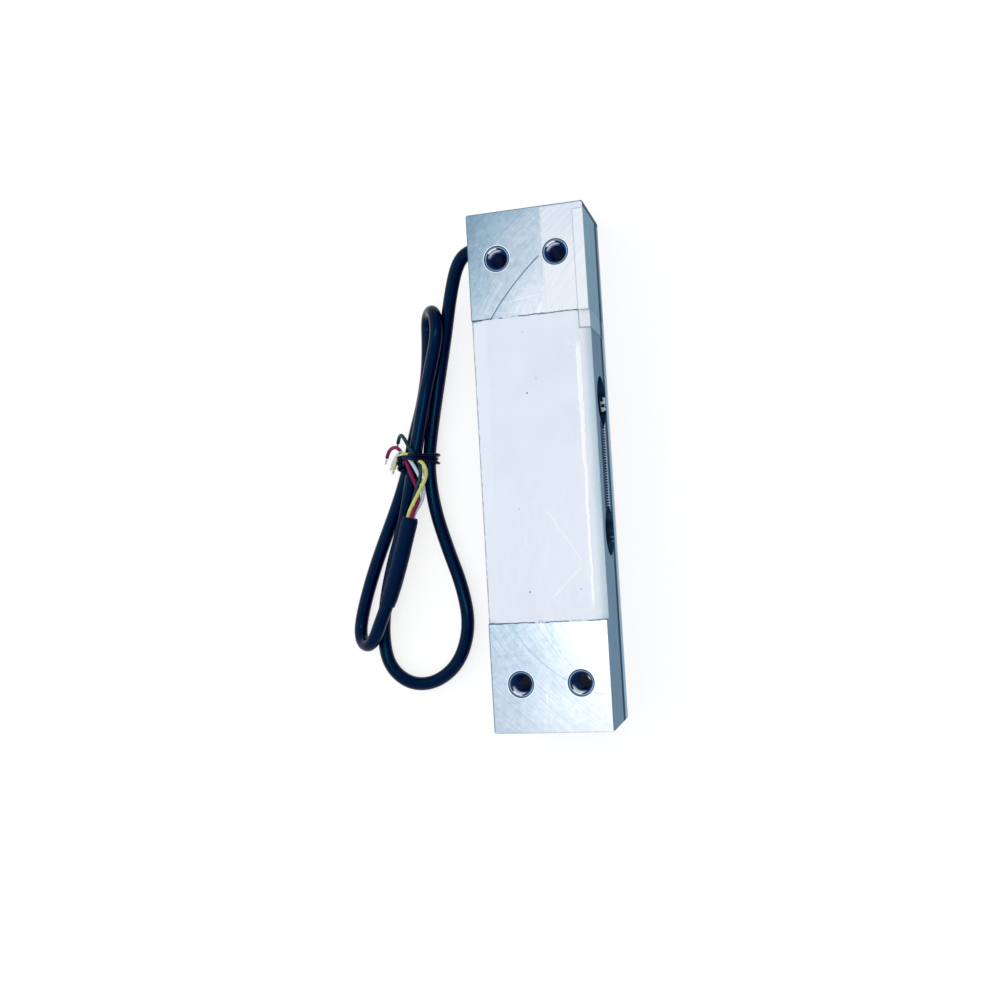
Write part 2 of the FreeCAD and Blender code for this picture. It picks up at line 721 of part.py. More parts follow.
# four stripped cores, from the jacket end up under the tie and out at its left
CORE_ROUTES = {
    "yellow": [
        (-37.9, -5, 8.1), (-36.5, -2, 8), (-35.8, 0.8, 7.8), (-36.3, 3.4, 8.2),
        (-37.3, 6.1, 8.5), (-38.3, 8.6, 9), (-40, 9.6, 8.8), (-41.9, 9.4, 7.7),
        (-43.5, 8, 6.3), (-44.6, 6.2, 4.9),
    ],
    "green": [
        (-39.4, -5.2, 7.3), (-38.5, -1.8, 8.4), (-37.9, 0.9, 8.9), (-37.5, 3.4, 8.6),
        (-38.35, 6.1, 8.25), (-38.9, 8.4, 7.8), (-39.7, 10.4, 7.1), (-41.2, 12, 5.2),
        (-42.6, 13.1, 3.4), (-44, 13.1, 2.2),
    ],
    "white": [
        (-36.6, -5.6, 5.8), (-36.2, -3, 5.9), (-37, -0.6, 6.9), (-38, 1.4, 7.7),
        (-38.6, 3.4, 7.8), (-39.4, 6.1, 7.5), (-40.3, 8.8, 7.1), (-41.7, 9.3, 6.4),
        (-43.2, 8.2, 4.6), (-44.4, 6.6, 2.8), (-45.8, 5, 1.8),
    ],
    "red": [
        (-37.3, -5.4, 6.9), (-37.8, -1.6, 7.3), (-39.1, 1.2, 7.8), (-39.7, 3.4, 7.6),
        (-40.4, 6.1, 6.7), (-41, 8.8, 5.6), (-42.3, 10.2, 4.3), (-43.9, 10.8, 2.9),
        (-45.4, 10.2, 1.7), (-46.5, 8.7, 1.3),
    ],
}
# where each core leaves the jacket end: to the right, up
CORE_STARTS = {"yellow": (-1, 1), "green": (-1, -1), "white": (1, -1), "red": (1, 1)}
core_r = size("core_radius")
core_spread = 1.1 * core_r
right = past.cross(Vector(0, 0, 1))
right.normalize()
up = right.cross(past)
tips = []
for colour, route in CORE_ROUTES.items():
    to_right, upward = CORE_STARTS[colour]
    start = jacket_end + (right * to_right + up * upward) * core_spread
    straight_end = start + past * 2.2
    edges, radii = route_edges([tuple(start), tuple(straight_end)] + route)
    show("core_" + colour, sweep(edges, core_r))
    print("core", colour, "length %.1f" % sum(edge.Length for edge in edges))
    end = Vector(*route[-1])
    heading = end - Vector(*route[-2])
    heading.normalize()
    tips.append(sweep([Part.LineSegment(
        end, end + heading * size("tip_length")).toShape()], size("tip_radius")))
show("core_tips", Part.makeCompound(tips))


# ---------------------------------------------------------------- cable tie
def band_face(circles, grow):
    """The face inside a band drawn tight round the circles, given in turning order."""
    sides = []
    for k in range(len(circles)):
        ax, ay, ar = circles[k - 1]
        bx, by, br = circles[k]
        away = Vector(bx - ax, by - ay, 0)
        gap = away.Length
        away.normalize()
        lean = (ar - br) / gap
        out = away * lean + Vector(away.y, -away.x, 0) * math.sqrt(1 - lean ** 2)
        sides.append((Vector(ax, ay, 0) + out * (ar + grow),
                      Vector(bx, by, 0) + out * (br + grow)))
    edges = []
    for k in range(len(circles)):
        cx, cy, r = circles[k]
        before = sides[k][1]
        after = sides[(k + 1) % len(circles)][0]
        edges.append(Part.LineSegment(sides[k][0], before).toShape())
        middle = (before - Vector(cx, cy, 0)) + (after - Vector(cx, cy, 0))
        middle.normalize()
        edges.append(Part.Arc(before, Vector(cx, cy, 0) + middle * (r + grow), after).toShape())
    return Part.Face(Part.Wire(edges))


# what the tie is drawn round, seen along the bundle: across, up, radius
TIE_STRANDS = [
    (3.24, 2.74, cable_r + 0.17), (0.72, 8.36, core_r + 0.08), (-0.85, 8.8, core_r + 0.08),
    (-3, 7.25, core_r + 0.08), (-3.85, 5.92, core_r + 0.1), (-2.52, 2.71, cable_r + 0.17),
]
clear = size("tie_clearance")
outer_face = band_face(TIE_STRANDS, clear + size("tie_thickness"))
inner_face = band_face(TIE_STRANDS, clear)
band = outer_face.cut(inner_face).extrude(Vector(0, 0, size("tie_width")))
tie_turn = Rotation(Vector(0, 0, 1), -size("tie_turn")) * Rotation(Vector(1, 0, 0), 90)
band.Placement = Placement(Vector(-size("tie_left"), size("tie_at"), 0), tie_turn)
# its twisted end lies over the left strand
TIE_TAIL = [(-41.5, 6.4, 7.5), (-41.9, 4.6, 6.7), (-42.6, 2.2, 5.6), (-42.8, 0.6, 4.6)]
twist = sweep(route_edges(TIE_TAIL)[0], size("tie_tail_radius"))
show("cable_tie", band.fuse(twist))

# ---------------------------------------------------------------- checks and files
doc.recompute()
nodes = [beam, doc.getObject("sealant_front"), doc.getObject("sealant_back"), label, tape]
nodes += pieces
for item in doc.Objects:
    if "Invalid" in item.State or "Error" in item.State:
        raise RuntimeError("%s: %s" % (item.Name, item.State))
os.makedirs("parts", exist_ok=True)
for node in nodes:
    shape = node.Shape
    if shape.isNull() or not shape.isValid() or shape.Volume <= 0:
        raise RuntimeError("bad shape: " + node.Label)
    shape.exportStep("parts/%s.step" % node.Label)
    box = shape.BoundBox
    print("%-22s %9.1f mm3  x %.2f %.2f  y %.2f %.2f  z %.2f %.2f" % (
        node.Label, shape.Volume, box.XMin, box.XMax, box.YMin, box.YMax, box.ZMin, box.ZMax))
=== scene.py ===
import math
import random

import bmesh
import bpy
from mathutils import Matrix, Vector, noise
from mathutils.geometry import convex_hull_2d


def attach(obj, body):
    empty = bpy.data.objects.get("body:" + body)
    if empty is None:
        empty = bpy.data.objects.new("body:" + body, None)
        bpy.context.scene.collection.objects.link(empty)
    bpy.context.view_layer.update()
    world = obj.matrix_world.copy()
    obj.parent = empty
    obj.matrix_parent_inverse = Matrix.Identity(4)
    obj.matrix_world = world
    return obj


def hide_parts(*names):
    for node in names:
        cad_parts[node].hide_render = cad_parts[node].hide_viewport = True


random.seed(11)
MM = 0.001

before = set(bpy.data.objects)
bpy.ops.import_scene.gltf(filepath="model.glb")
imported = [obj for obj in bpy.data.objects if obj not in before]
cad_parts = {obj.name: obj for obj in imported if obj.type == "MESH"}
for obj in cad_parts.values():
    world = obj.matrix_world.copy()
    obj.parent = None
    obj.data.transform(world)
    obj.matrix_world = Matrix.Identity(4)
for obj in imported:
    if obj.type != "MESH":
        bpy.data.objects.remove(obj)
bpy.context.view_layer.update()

scene = bpy.context.scene
scene.view_settings.view_transform = "Standard"

# The part's own sizes, in mm, under the names they have in its sheet, and the slot's end.
# x goes across the beam, y along it and z up from its lower face.
HALF_WIDTH, HALF_LENGTH, BEAM_HEIGHT = 15, 65, 22
HALF_HEIGHT = BEAM_HEIGHT / 2
RECESS_END = 37.9
FLEX_AT, FLEX_RADIUS = 16.5, 6.25
SLOT_BOTTOM, SLOT_TOP = 9.7, 12.3
BOLT_X, BOLT_Y, THREAD_DRILL = 7.5, 53, 2.5
LABEL_FROM, LABEL_TO, LABEL_LOW = 33.4, 63, 3
FLAP_EDGE, TAPE_EDGE = 12.3, 4.2
SLOT_END = FLEX_AT - FLEX_RADIUS


# small helpers

def link(obj):
    scene.collection.objects.link(obj)
    return obj


def around(side, other, angle):
    """The direction at an angle from one direction towards another."""
    return side * math.cos(angle) + other * math.sin(angle)


def length_of(points):
    return sum((b - a).length for a, b in zip(points, points[1:]))


def at_length(points, wanted):
    """Place and direction at a length along a line of points."""
    run = 0.0
    for a, b in zip(points, points[1:]):
        step = (b - a).length
        if step > 0 and run + step >= wanted:
            return a.lerp(b, (wanted - run) / step), (b - a).normalized()
        run += step
    direction = (points[-1] - points[-2]).normalized()
    return points[-1] + direction * (wanted - run), direction


def centreline(obj):
    """The points of the curve's own line, read while it has no bevel."""
    evaluated = obj.evaluated_get(bpy.context.evaluated_depsgraph_get())
    mesh = bpy.data.meshes.new_from_object(evaluated)
    points = [v.co.copy() for v in mesh.vertices]
    bpy.data.meshes.remove(mesh)
    return points


def route_curve(name, points, radius):
    """One open NURBS spline with the route's points, in mm, as its control points."""
    data = bpy.data.curves.new(name, "CURVE")
    data.dimensions = "3D"
    data.resolution_u = 12
    data.bevel_resolution = 7
    data.use_fill_caps = True
    spline = data.splines.new("NURBS")
    spline.points.add(len(points) - 1)
    for point, place in zip(spline.points, points):
        point.co = (*(Vector(place) * MM), 1)
    spline.order_u = 3
    spline.use_endpoint_u = True
    obj = link(bpy.data.objects.new(name, data))
    line = centreline(obj)
    data.bevel_depth = radius * MM
    return obj, line


def mesh_object(name, bm, smooth=True):
    bmesh.ops.recalc_face_normals(bm, faces=bm.faces)
    mesh = bpy.data.meshes.new(name)
    bm.to_mesh(mesh)
    bm.free()
    for polygon in mesh.polygons:
        polygon.use_smooth = smooth
    return link(bpy.data.objects.new(name, mesh))


def tube(name, path, radius_at, sides):
    """A closed mesh tube along a path; radius_at(fraction, angle) gives its section."""
    bm = bmesh.new()
    rings = []
    across = (path[1] - path[0]).normalized().orthogonal().normalized()
    for i, place in enumerate(path):
        ahead = path[min(i + 1, len(path) - 1)]
        behind = path[max(i - 1, 0)]
        tangent = (ahead - behind).normalized()
        across = (across - tangent * across.dot(tangent)).normalized()
        other = tangent.cross(across)
        ring = []
        for k in range(sides):
            angle = 2 * math.pi * k / sides
            radius = radius_at(i / (len(path) - 1), angle)
            ring.append(bm.verts.new(place + around(across, other, angle) * radius))
        rings.append(ring)
    for a, b in zip(rings, rings[1:]):
        for k in range(sides):
            bm.faces.new((a[k], a[(k + 1) % sides], b[(k + 1) % sides], b[k]))
    bm.faces.new(list(reversed(rings[0])))
    bm.faces.new(rings[-1])
    return mesh_object(name, bm)


def join(name, objects):
    """Several mesh objects as one."""
    bm = bmesh.new()
    for obj in objects:
        bm.from_mesh(obj.data)
        mesh = obj.data
        bpy.data.objects.remove(obj)
        bpy.data.meshes.remove(mesh)
    return mesh_object(name, bm)


def settle(obj, material, slot_name, *nodes):
    """Give a piece its material and body, and hide the CAD nodes that it stands for; slot_name is
    not used.
    """
    obj.data.materials.append(material)
    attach(obj, "root")
    if nodes:
        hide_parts(*nodes)


# camera

CAMERA_PLACE = (0.0600, -0.0212, 0.2893)
CAMERA_RIGHT = (0.9649, -0.0572, -0.2562)
CAMERA_UP = (0.0681, 0.9971, 0.0337)
CAMERA_LENS = 40.13


def add_camera():
    """The photograph's viewpoint, fitted to the beam's corners."""
    data = bpy.data.cameras.new("camera")
    data.sensor_width = 36
    data.lens = CAMERA_LENS
    data.clip_start = 0.01
    camera = link(bpy.data.objects.new("camera", data))
    right, up = Vector(CAMERA_RIGHT), Vector(CAMERA_UP)
    turn = Matrix((right, up, right.cross(up))).transposed().to_4x4()
    camera.matrix_world = Matrix.Translation(CAMERA_PLACE) @ turn
    scene.camera = camera


add_camera()


# cable and cores: routes in mm, from the seal in the beam to the bare ends

CABLE_ROUTE = [
    (-12.6, 59.3, 11), (-17.2, 59.3, 11), (-21, 56.6, 10.6), (-24, 49, 8.5),
    (-27, 38.8, 5.2), (-30.1, 27.6, 3.2), (-32.8, 15.6, 2.8), (-34.7, 4.6, 2.8),
    (-33.9, -7, 2), (-30.9, -18, 1.8), (-27.1, -29.3, 1.8), (-25.8, -39.6, 1.8),
    (-29, -49, 1.8), (-35.8, -54.3, 1.8), (-43.4, -54.6, 1.8), (-49.3, -49.6, 1.8),
    (-50.6, -41.2, 1.8), (-49.4, -32, 1.8), (-47, -22.8, 1.9), (-43.5, -13.6, 2.7),
    (-40, -3.8, 4.8), (-37.4, 6.2, 5.8), (-35.2, 16, 6.1), (-32.8, 25, 6.4),
    (-29.9, 33.6, 7.8), (-28.5, 38.2, 8.7), (-28.3, 42.7, 9.1), (-29.7, 45.3, 7.1),
    (-31.9, 45.3, 3.9), (-33.1, 42.7, 1.8), (-33.2, 37, 1.8), (-33.9, 29, 1.8),
    (-35.8, 20.6, 1.8), (-38.3, 12.4, 2.5), (-40.1, 4.8, 2.8), (-42.6, -2, 2.4),
    (-46, -9.4, 1.8), (-49.8, -17.6, 1.8), (-53.2, -25.8, 1.8), (-56.1, -34.4, 1.8),
    (-57.2, -39.8, 1.8), (-56, -42.9, 3.3), (-53.4, -43.5, 5.5), (-51, -41.5, 6.9),
    (-49.1, -37, 6.9), (-46.1, -30.2, 6.4), (-42.5, -20, 6.3), (-39.4, -10.4, 6.9),
]
CABLE_RADIUS = 1.8
CORE_RADIUS = 0.5
CORE_SPACING = 0.55
CORE_STRAIGHT = 2.2
CORE_PLACES = {"yellow": (-1, 1), "green": (-1, -1), "white": (1, -1), "red": (1, 1)}
CORE_ROUTES = {
    "yellow": [(-37.6, -5.6, 7.9), (-36, -3, 8), (-34.3, -0.2, 7.9), (-33.6, 2, 7.8),
               (-34, 4.2, 8.3), (-35.6, 5.7, 8.4), (-37.5, 6.9, 9), (-39.6, 7.4, 8.8),
               (-41.5, 6.9, 7.6), (-42.8, 5.4, 6.2), (-43.8, 4, 4.9)],
    "green": [(-38.2, -5.6, 6.9), (-37.3, -3.4, 7.4), (-36.1, -1, 8), (-35.2, 1.5, 7.9),
              (-35.2, 3.9, 7.8), (-36.4, 6.6, 8.3), (-38, 8.8, 8), (-39.4, 11.2, 7),
              (-40.8, 12.9, 5.7), (-42, 12.7, 4.4), (-42.9, 11, 3.2)],
    "white": [(-36.3, -5.8, 5.7), (-35.4, -3.4, 5.9), (-35.2, -1, 6.5), (-35.9, 1.2, 7.1),
              (-36.6, 3.2, 7.9), (-37.6, 5.2, 8.2), (-39, 7.2, 8), (-40.6, 8, 7.2),
              (-42.2, 7.6, 6), (-43.8, 6.2, 4.4), (-45, 5, 2.8)],
    "red": [(-37.1, -6.2, 6.7), (-36.5, -4.4, 6.8), (-36.8, -2.1, 6.6), (-37.6, 0.6, 7.5),
            (-38.4, 3.2, 8), (-39.3, 5.6, 7.8), (-40.6, 7, 6.4), (-41.6, 8.9, 5.5),
            (-43.2, 9.9, 4.4), (-45, 9.7, 3.2), (-46.3, 8.6, 2.2), (-46.9, 7.4, 1.6)],
}


def core_start(end, past, place):
    """Where a core leaves the jacket's end, and the point where it starts to turn."""
    level = Vector((0, 0, 1))
    right = past.cross(level).normalized()
    up = right.cross(past).normalized()
    start = end + (right * place[0] + up * place[1]) * CORE_SPACING
    return [start, start + past * CORE_STRAIGHT]


cable, cable_line = route_curve("cable", CABLE_ROUTE, CABLE_RADIUS)
cable_length = length_of(cable_line)

jacket_end = Vector(CABLE_ROUTE[-1])
jacket_way = (jacket_end - Vector(CABLE_ROUTE[-2])).normalized()
cores, core_lines = {}, {}
for colour, route in CORE_ROUTES.items():
    points = core_start(jacket_end, jacket_way, CORE_PLACES[colour]) + route
    cores[colour], core_lines[colour] = route_curve("core_" + colour, points, CORE_RADIUS)


# heat-shrink sleeve at the cable's end

SLEEVE_LENGTH = 23.6
SLEEVE_OVERHANG = 0.8
SLEEVE_THICKNESS = 0.45
SLEEVE_RINGS = 70


def sleeve_path():
    """The cable's last stretch, and on a little past its end."""
    start = cable_length - SLEEVE_LENGTH * MM
    step = (SLEEVE_LENGTH + SLEEVE_OVERHANG) * MM / (SLEEVE_RINGS - 1)
    return [at_length(cable_line, start + step * i)[0] for i in range(SLEEVE_RINGS)]


def sleeve_radius(fraction, angle):
    """Drawn in at the neck and at the mouth, with slight lumps all along."""
    lump = noise.noise(Vector((fraction * 14, math.cos(angle) * 1.3, math.sin(angle) * 1.3)))
    neck = 0.16 * math.exp(-(fraction / 0.05) ** 2)
    mouth = 0.3 * max(0.0, (fraction - 0.955) / 0.045) ** 1.5
    return (CABLE_RADIUS + SLEEVE_THICKNESS - neck - mouth + 0.06 * lump) * MM


sleeve = tube("heat_shrink", sleeve_path(), sleeve_radius, 28)


# tinned ends of the cores

TIP_LENGTH = 2.4
TIP_WIRE = 0.1
TIP_ROOT = 0.3
TIP_SPACING = 0.2
TIP_STEPS = 8


def tip_strands(end, way, seed):
    """Six fine wires round a seventh, with a slight lay, a little apart at their ends."""
    rng = random.Random(seed)
    side = way.orthogonal().normalized()
    other = way.cross(side)
    wires = []
    for k in range(7):
        away = 0 if k == 6 else TIP_SPACING
        splay = rng.uniform(0.0, 0.16)
        reach = rng.uniform(0.86, 1.0) * TIP_LENGTH
        path = []
        for i in range(TIP_STEPS + 1):
            f = i / TIP_STEPS
            out = around(side, other, k * math.pi / 3 + 1.5 * f) * (away + splay * f * f)
            path.append((end + way * (reach * f - TIP_ROOT) + out) * MM)
        wires.append(tube("wire", path, lambda fraction, angle: TIP_WIRE * MM, 6))
    return wires


tips = []
for number, route in enumerate(CORE_ROUTES.values()):
    end = Vector(route[-1])
    tips += tip_strands(end, (end - Vector(route[-2])).normalized(), number)
core_tips = join("core_tips", tips)


# wire tie round the bundle; its own plane is upright, across the cable

TIE_PLACE = (Matrix.Translation((-37.1, 6.4, 0)) @ Matrix.Rotation(math.radians(-5), 4, "Z")
             @ Matrix.Rotation(math.radians(90), 4, "X"))
TIE_WIRE = 0.38
TIE_REACH = 8  # a strand farther off than this isn't in the bundle
TIE_STEPS = 90
RIM_STEPS = 48
# How far along the bundle each turn lies, and how much it slants.
TIE_TURNS = [(-0.82, 0.01), (0, -0.02), (0.8, -0.03), (-0.45, 0.1), (0.25, -0.16)]
TIE_TAIL = [(-40.1, 7.2, 8.4), (-41.2, 6.1, 7.7), (-41.6, 4.4, 6.5), (-41.1, 2.9, 5.7),
            (-39.9, 2.9, 6.4)]
TAIL_WIRE = 0.5
TAIL_STEPS = 60
TAIL_TWISTS = 2.2


def crossings(line):
    """Where a line goes through the tie's plane, in the tie's own coordinates."""
    turned = TIE_PLACE.inverted()
    places = [turned @ (p / MM) for p in line]
    return [a.lerp(b, a.z / (a.z - b.z)) for a, b in zip(places, places[1:])
            if a.z * b.z <= 0 and a.z != b.z]


def strands_in_tie():
    """Each pass of the cable and the first of each core, with its radius."""
    strands = [(p, CABLE_RADIUS) for p in crossings(cable_line)]
    for line in core_lines.values():
        strands += [(p, CORE_RADIUS) for p in crossings(line)[:1]]
    return [(p, radius) for p, radius in strands if abs(p.x) < TIE_REACH]


def tie_loop(layer):
    """The line that a taut wire takes round the strands, in the tie's own plane.

    The inner turns sink a little into the jackets, and the outer ones into the inner.
    """
    away = TIE_WIRE * (0.85 + 1.3 * layer)
    rim = []
    for p, radius in strands_in_tie():
        for k in range(RIM_STEPS):
            angle = 2 * math.pi * k / RIM_STEPS
            rim.append((p.x + (radius + away) * math.cos(angle),
                        p.y + (radius + away) * math.sin(angle)))
    outline = [Vector(rim[i]) for i in convex_hull_2d(rim)]
    outline.append(outline[0])
    step = length_of(outline) / TIE_STEPS
    return [at_length(outline, step * k)[0] for k in range(TIE_STEPS)]


def tie_winding():
    """Three turns side by side, then two laid across them at a slant."""
    inner, outer = tie_loop(0), tie_loop(1)
    loops = [inner, inner, inner, outer, outer]
    last = len(loops) - 1
    start = max(range(TIE_STEPS), key=lambda k: inner[k].y - inner[k].x)
    path = []
    for i in range(len(loops) * TIE_STEPS + 1):
        turn = min(i // TIE_STEPS, last)
        ahead = min(turn + 1, last)
        blend = max(0.0, (i / TIE_STEPS - turn - 0.7) / 0.3) ** 2
        k = (start + i) % TIE_STEPS
        p = loops[turn][k].lerp(loops[ahead][k], blend)
        shift, slant = (a + (b - a) * blend for a, b in zip(TIE_TURNS[turn], TIE_TURNS[ahead]))
        along = shift - slant * p.x + 0.1 * math.sin(i * 0.13)
        path.append(TIE_PLACE @ Vector((p.x, max(p.y, TIE_WIRE + 0.05), along)) * MM)
    return path


def tie_tail():
    """The tie's two ends, twisted together."""
    guide, line = route_curve("twist", TIE_TAIL, TAIL_WIRE)
    bpy.data.objects.remove(guide)
    step = length_of(line) / TAIL_STEPS
    wires = []
    for half in (0, math.pi):
        path = []
        for i in range(TAIL_STEPS + 1):
            place, way = at_length(line, step * i)
            side = way.cross(Vector((0.2, 0.1, 1))).normalized()
            turn = half + 2 * math.pi * TAIL_TWISTS * i / TAIL_STEPS
            path.append(place + around(side, way.cross(side), turn) * TAIL_WIRE * 0.95 * MM)
        wires.append(tube("wire", path, lambda fraction, angle: TAIL_WIRE * MM, 10))
    return wires


winding = tube("wire", tie_winding(), lambda fraction, angle: TIE_WIRE * MM, 12)
cable_tie = join("cable_tie", [winding, *tie_tail()])


# materials

class Net:
    """Short names for building a node tree, of a material or the world.

    Colours are linear. rise, fall, band, beyond and short_of take places in mm, to compare with
    object coordinates in metres.
    """

    def __init__(self, owner, coords="Object"):
        owner.use_nodes = True
        self.owner, self.tree = owner, owner.node_tree
        self.coords = self.node("ShaderNodeTexCoord").outputs[coords]

    def node(self, kind, **settings):
        made = self.tree.nodes.new(kind)
        for key, value in settings.items():
            setattr(made, key, value)
        return made

    def put(self, target, value):
        """Link a socket, or set a plain value."""
        if isinstance(value, bpy.types.NodeSocket):
            self.tree.links.new(value, target)
        else:
            target.default_value = value

    def set(self, **values):
        """Fill the surface shader's inputs, and give back the material."""
        for key, value in values.items():
            target = self.tree.nodes["Principled BSDF"].inputs[key.replace("_", " ")]
            if isinstance(value, tuple):
                value = (*value, 1)
            self.put(target, value)
        return self.owner

    def math(self, operation, a, b=0.0, clamp=False):
        made = self.node("ShaderNodeMath", operation=operation, use_clamp=clamp)
        self.put(made.inputs[0], a)
        self.put(made.inputs[1], b)
        return made.outputs[0]

    def fold(self, operation, first, *others):
        for value in others:
            first = self.math(operation, first, value)
        return first

    def add(self, *values):
        return self.fold("ADD", *values)

    def times(self, *values):
        return self.fold("MULTIPLY", *values)

    def most(self, *values):
        return self.fold("MAXIMUM", *values)

    def minus(self, a, b):
        return self.math("SUBTRACT", a, b)

    def size(self, value):
        return self.math("ABSOLUTE", value)

    def hypot(self, a, b):
        return self.math("SQRT", self.add(self.times(a, a), self.times(b, b)))

    def swing(self, noise_value, amount):
        """A noise's value as a change of up to half the amount either way."""
        return self.times(self.minus(noise_value, 0.5), amount)

    def between(self, value, low, high, out_low=0.0, out_high=1.0):
        """Smoothly from one number to another as the value goes from low to high."""
        made = self.node("ShaderNodeMapRange", interpolation_type="SMOOTHSTEP")
        self.put(made.inputs[0], value)
        for i, number in enumerate((low, high, out_low, out_high)):
            made.inputs[i + 1].default_value = number
        return made.outputs[0]

    def rise(self, value, low, high, out_low=0.0, out_high=1.0):
        return self.between(value, low * MM, high * MM, out_low, out_high)

    def fall(self, value, low, high):
        return self.rise(value, low, high, 1.0, 0.0)

    def band(self, value, place, near, far, strength=1.0):
        """Full strength up to near mm from a place, and none from far mm on."""
        return self.rise(self.size(self.minus(value, place * MM)), near, far, strength, 0.0)

    def beyond(self, value, place):
        return self.math("GREATER_THAN", value, place * MM)

    def short_of(self, value, place):
        return self.math("LESS_THAN", value, place * MM)

    def split(self, vector=None):
        made = self.node("ShaderNodeSeparateXYZ")
        self.put(made.inputs[0], vector or self.coords)
        return made.outputs

    def join(self, x, y, z):
        made = self.node("ShaderNodeCombineXYZ")
        for target, value in zip(made.inputs, (x, y, z)):
            self.put(target, value)
        return made.outputs[0]

    def stretch(self, factors):
        made = self.node("ShaderNodeMapping")
        self.put(made.inputs["Vector"], self.coords)
        self.put(made.inputs["Scale"], factors)
        return made.outputs[0]

    def noise(self, vector, scale, detail=3.0, roughness=0.5):
        made = self.node("ShaderNodeTexNoise")
        self.put(made.inputs["Vector"], vector)
        self.put(made.inputs["Scale"], scale)
        self.put(made.inputs["Detail"], detail)
        self.put(made.inputs["Roughness"], roughness)
        return made.outputs[0]

    def ramp(self, value, *stops):
        made = self.node("ShaderNodeValToRGB")
        self.put(made.inputs[0], value)
        elements = made.color_ramp.elements
        while len(elements) < len(stops):
            elements.new(0.5)
        for element, (position, colour) in zip(elements, stops):
            element.position = position
            element.color = (*colour, 1)
        return made.outputs[0]

    def mix(self, amount, a, b):
        made = self.node("ShaderNodeMix", data_type="RGBA")
        self.put(made.inputs[0], amount)
        for target, value in ((made.inputs[6], a), (made.inputs[7], b)):
            self.put(target, (*value, 1) if isinstance(value, tuple) else value)
        return made.outputs[2]

    def mix_vectors(self, amount, a, b):
        made = self.node("ShaderNodeMix", data_type="VECTOR")
        for i, value in ((0, amount), (4, a), (5, b)):
            self.put(made.inputs[i], value)
        return made.outputs[1]

    def bump(self, height, strength, distance, normal=None):
        made = self.node("ShaderNodeBump")
        self.put(made.inputs["Height"], height)
        self.put(made.inputs["Strength"], strength)
        self.put(made.inputs["Distance"], distance)
        if normal:
            self.put(made.inputs["Normal"], normal)
        return made.outputs[0]

    def seen(self):
        """1 for rays from the camera, straight, mirrored or through the tape; 0 for the rest."""
        path = self.node("ShaderNodeLightPath").outputs
        return self.most(path["Is Camera Ray"], path["Is Glossy Ray"], path["Is Transmission Ray"])


def material_net(name):
    return Net(bpy.data.materials.new(name))


def plastic(name, low, high, scale=900.0, roughness=(0.35, 0.5), **more):
    """Moulded or drawn plastic with slight mottling."""
    net = material_net(name)
    tone = net.noise(net.coords, scale, 4.0)
    fine = net.noise(net.coords, scale * 6, 2.0)
    return net.set(
        Base_Color=net.ramp(tone, (0.3, low), (0.7, high)),
        Roughness=net.between(tone, 0.3, 0.7, *roughness),
        Normal=net.bump(fine, 0.05, 0.0001),
        **more,
    )


def metal(name, low, high, scale=900.0):
    """Drawn or plated metal with slight mottling."""
    net = material_net(name)
    tone = net.noise(net.coords, scale, 4.0)
    return net.set(
        Base_Color=net.ramp(tone, (0.3, low), (0.7, high)),
        Metallic=1.0,
        Roughness=net.between(tone, 0.3, 0.7, 0.25, 0.4),
        Normal=net.bump(tone, 0.05, 0.00005),
    )


def jacket(name, roughness, grain_strength=0.08):
    """Near-black plastic whose highlights are blue-green, as in the photograph."""
    net = material_net(name)
    grain = net.noise(net.coords, 3400.0, 3.0)
    cloud = net.noise(net.coords, 300.0, 2.0)
    return net.set(
        Base_Color=net.ramp(cloud, (0.3, (0.0005, 0.0012, 0.019)), (0.7, (0.0010, 0.0028, 0.034))),
        Roughness=net.between(cloud, 0.3, 0.7, *roughness),
        IOR=1.28,
        Specular_Tint=(0.03, 0.5, 0.8),
        Normal=net.bump(grain, grain_strength, 0.00005),
    )


def circle_through(a, b, c):
    """Centre and radius of the circle through three places in a plane."""
    (ax, ay), (bx, by), (cx, cy) = a, b, c
    d = 2 * (ax * (by - cy) + bx * (cy - ay) + cx * (ay - by))
    aa, bb, cc = ax * ax + ay * ay, bx * bx + by * by, cx * cx + cy * cy
    ux = (aa * (by - cy) + bb * (cy - ay) + cc * (ay - by)) / d
    uy = (aa * (cx - bx) + bb * (ax - cx) + cc * (bx - ax)) / d
    return (ux, uy), math.hypot(ax - ux, ay - uy)


# Marks in the upper faces, in mm.
ARC_UPPER = circle_through((-9.8, 38.0), (-4.2, 45.2), (3.7, 52.8))
ARC_LOWER = circle_through((-9.2, -38.6), (-4.4, -45.3), (2.4, -51.2))
CUTTER_RADIUS_SQUARED = 0.0062  # in square metres
TEETH_PER_METRE = 1450.0
DEEP_SCRATCHES = [((1.6, -10.9), (9.6, -23.6)), ((1.8, -32.2), (9.0, -25.2))]
FINE_SCRATCHES = [((10.6, 14.0), (11.4, 12.2)), ((9.2, 30.4), (11.0, 29.0)),
                  ((12.4, 33.0), (13.2, 29.6)), ((8.9, 17.6), (10.8, 17.2)),
                  ((11.6, -17.5), (11.9, -25.5)), ((7.8, -33.6), (9.4, -31.4))]


def scratch(net, x, y, start, end, width):
    """1 on a straight scratch between two places, 0 away from it."""
    start, end = Vector(start) * MM, Vector(end) * MM
    half = (end - start).length / 2
    way = (end - start).normalized()
    dx, dy = net.minus(x, start.x), net.minus(y, start.y)
    along = net.add(net.times(dx, way.x), net.times(dy, way.y))
    beside = net.add(net.times(dx, -way.y), net.times(dy, way.x))
    past = net.most(net.minus(net.size(net.minus(along, half)), half), 0.0)
    return net.fall(net.add(net.size(beside), past), width * 0.4, width)


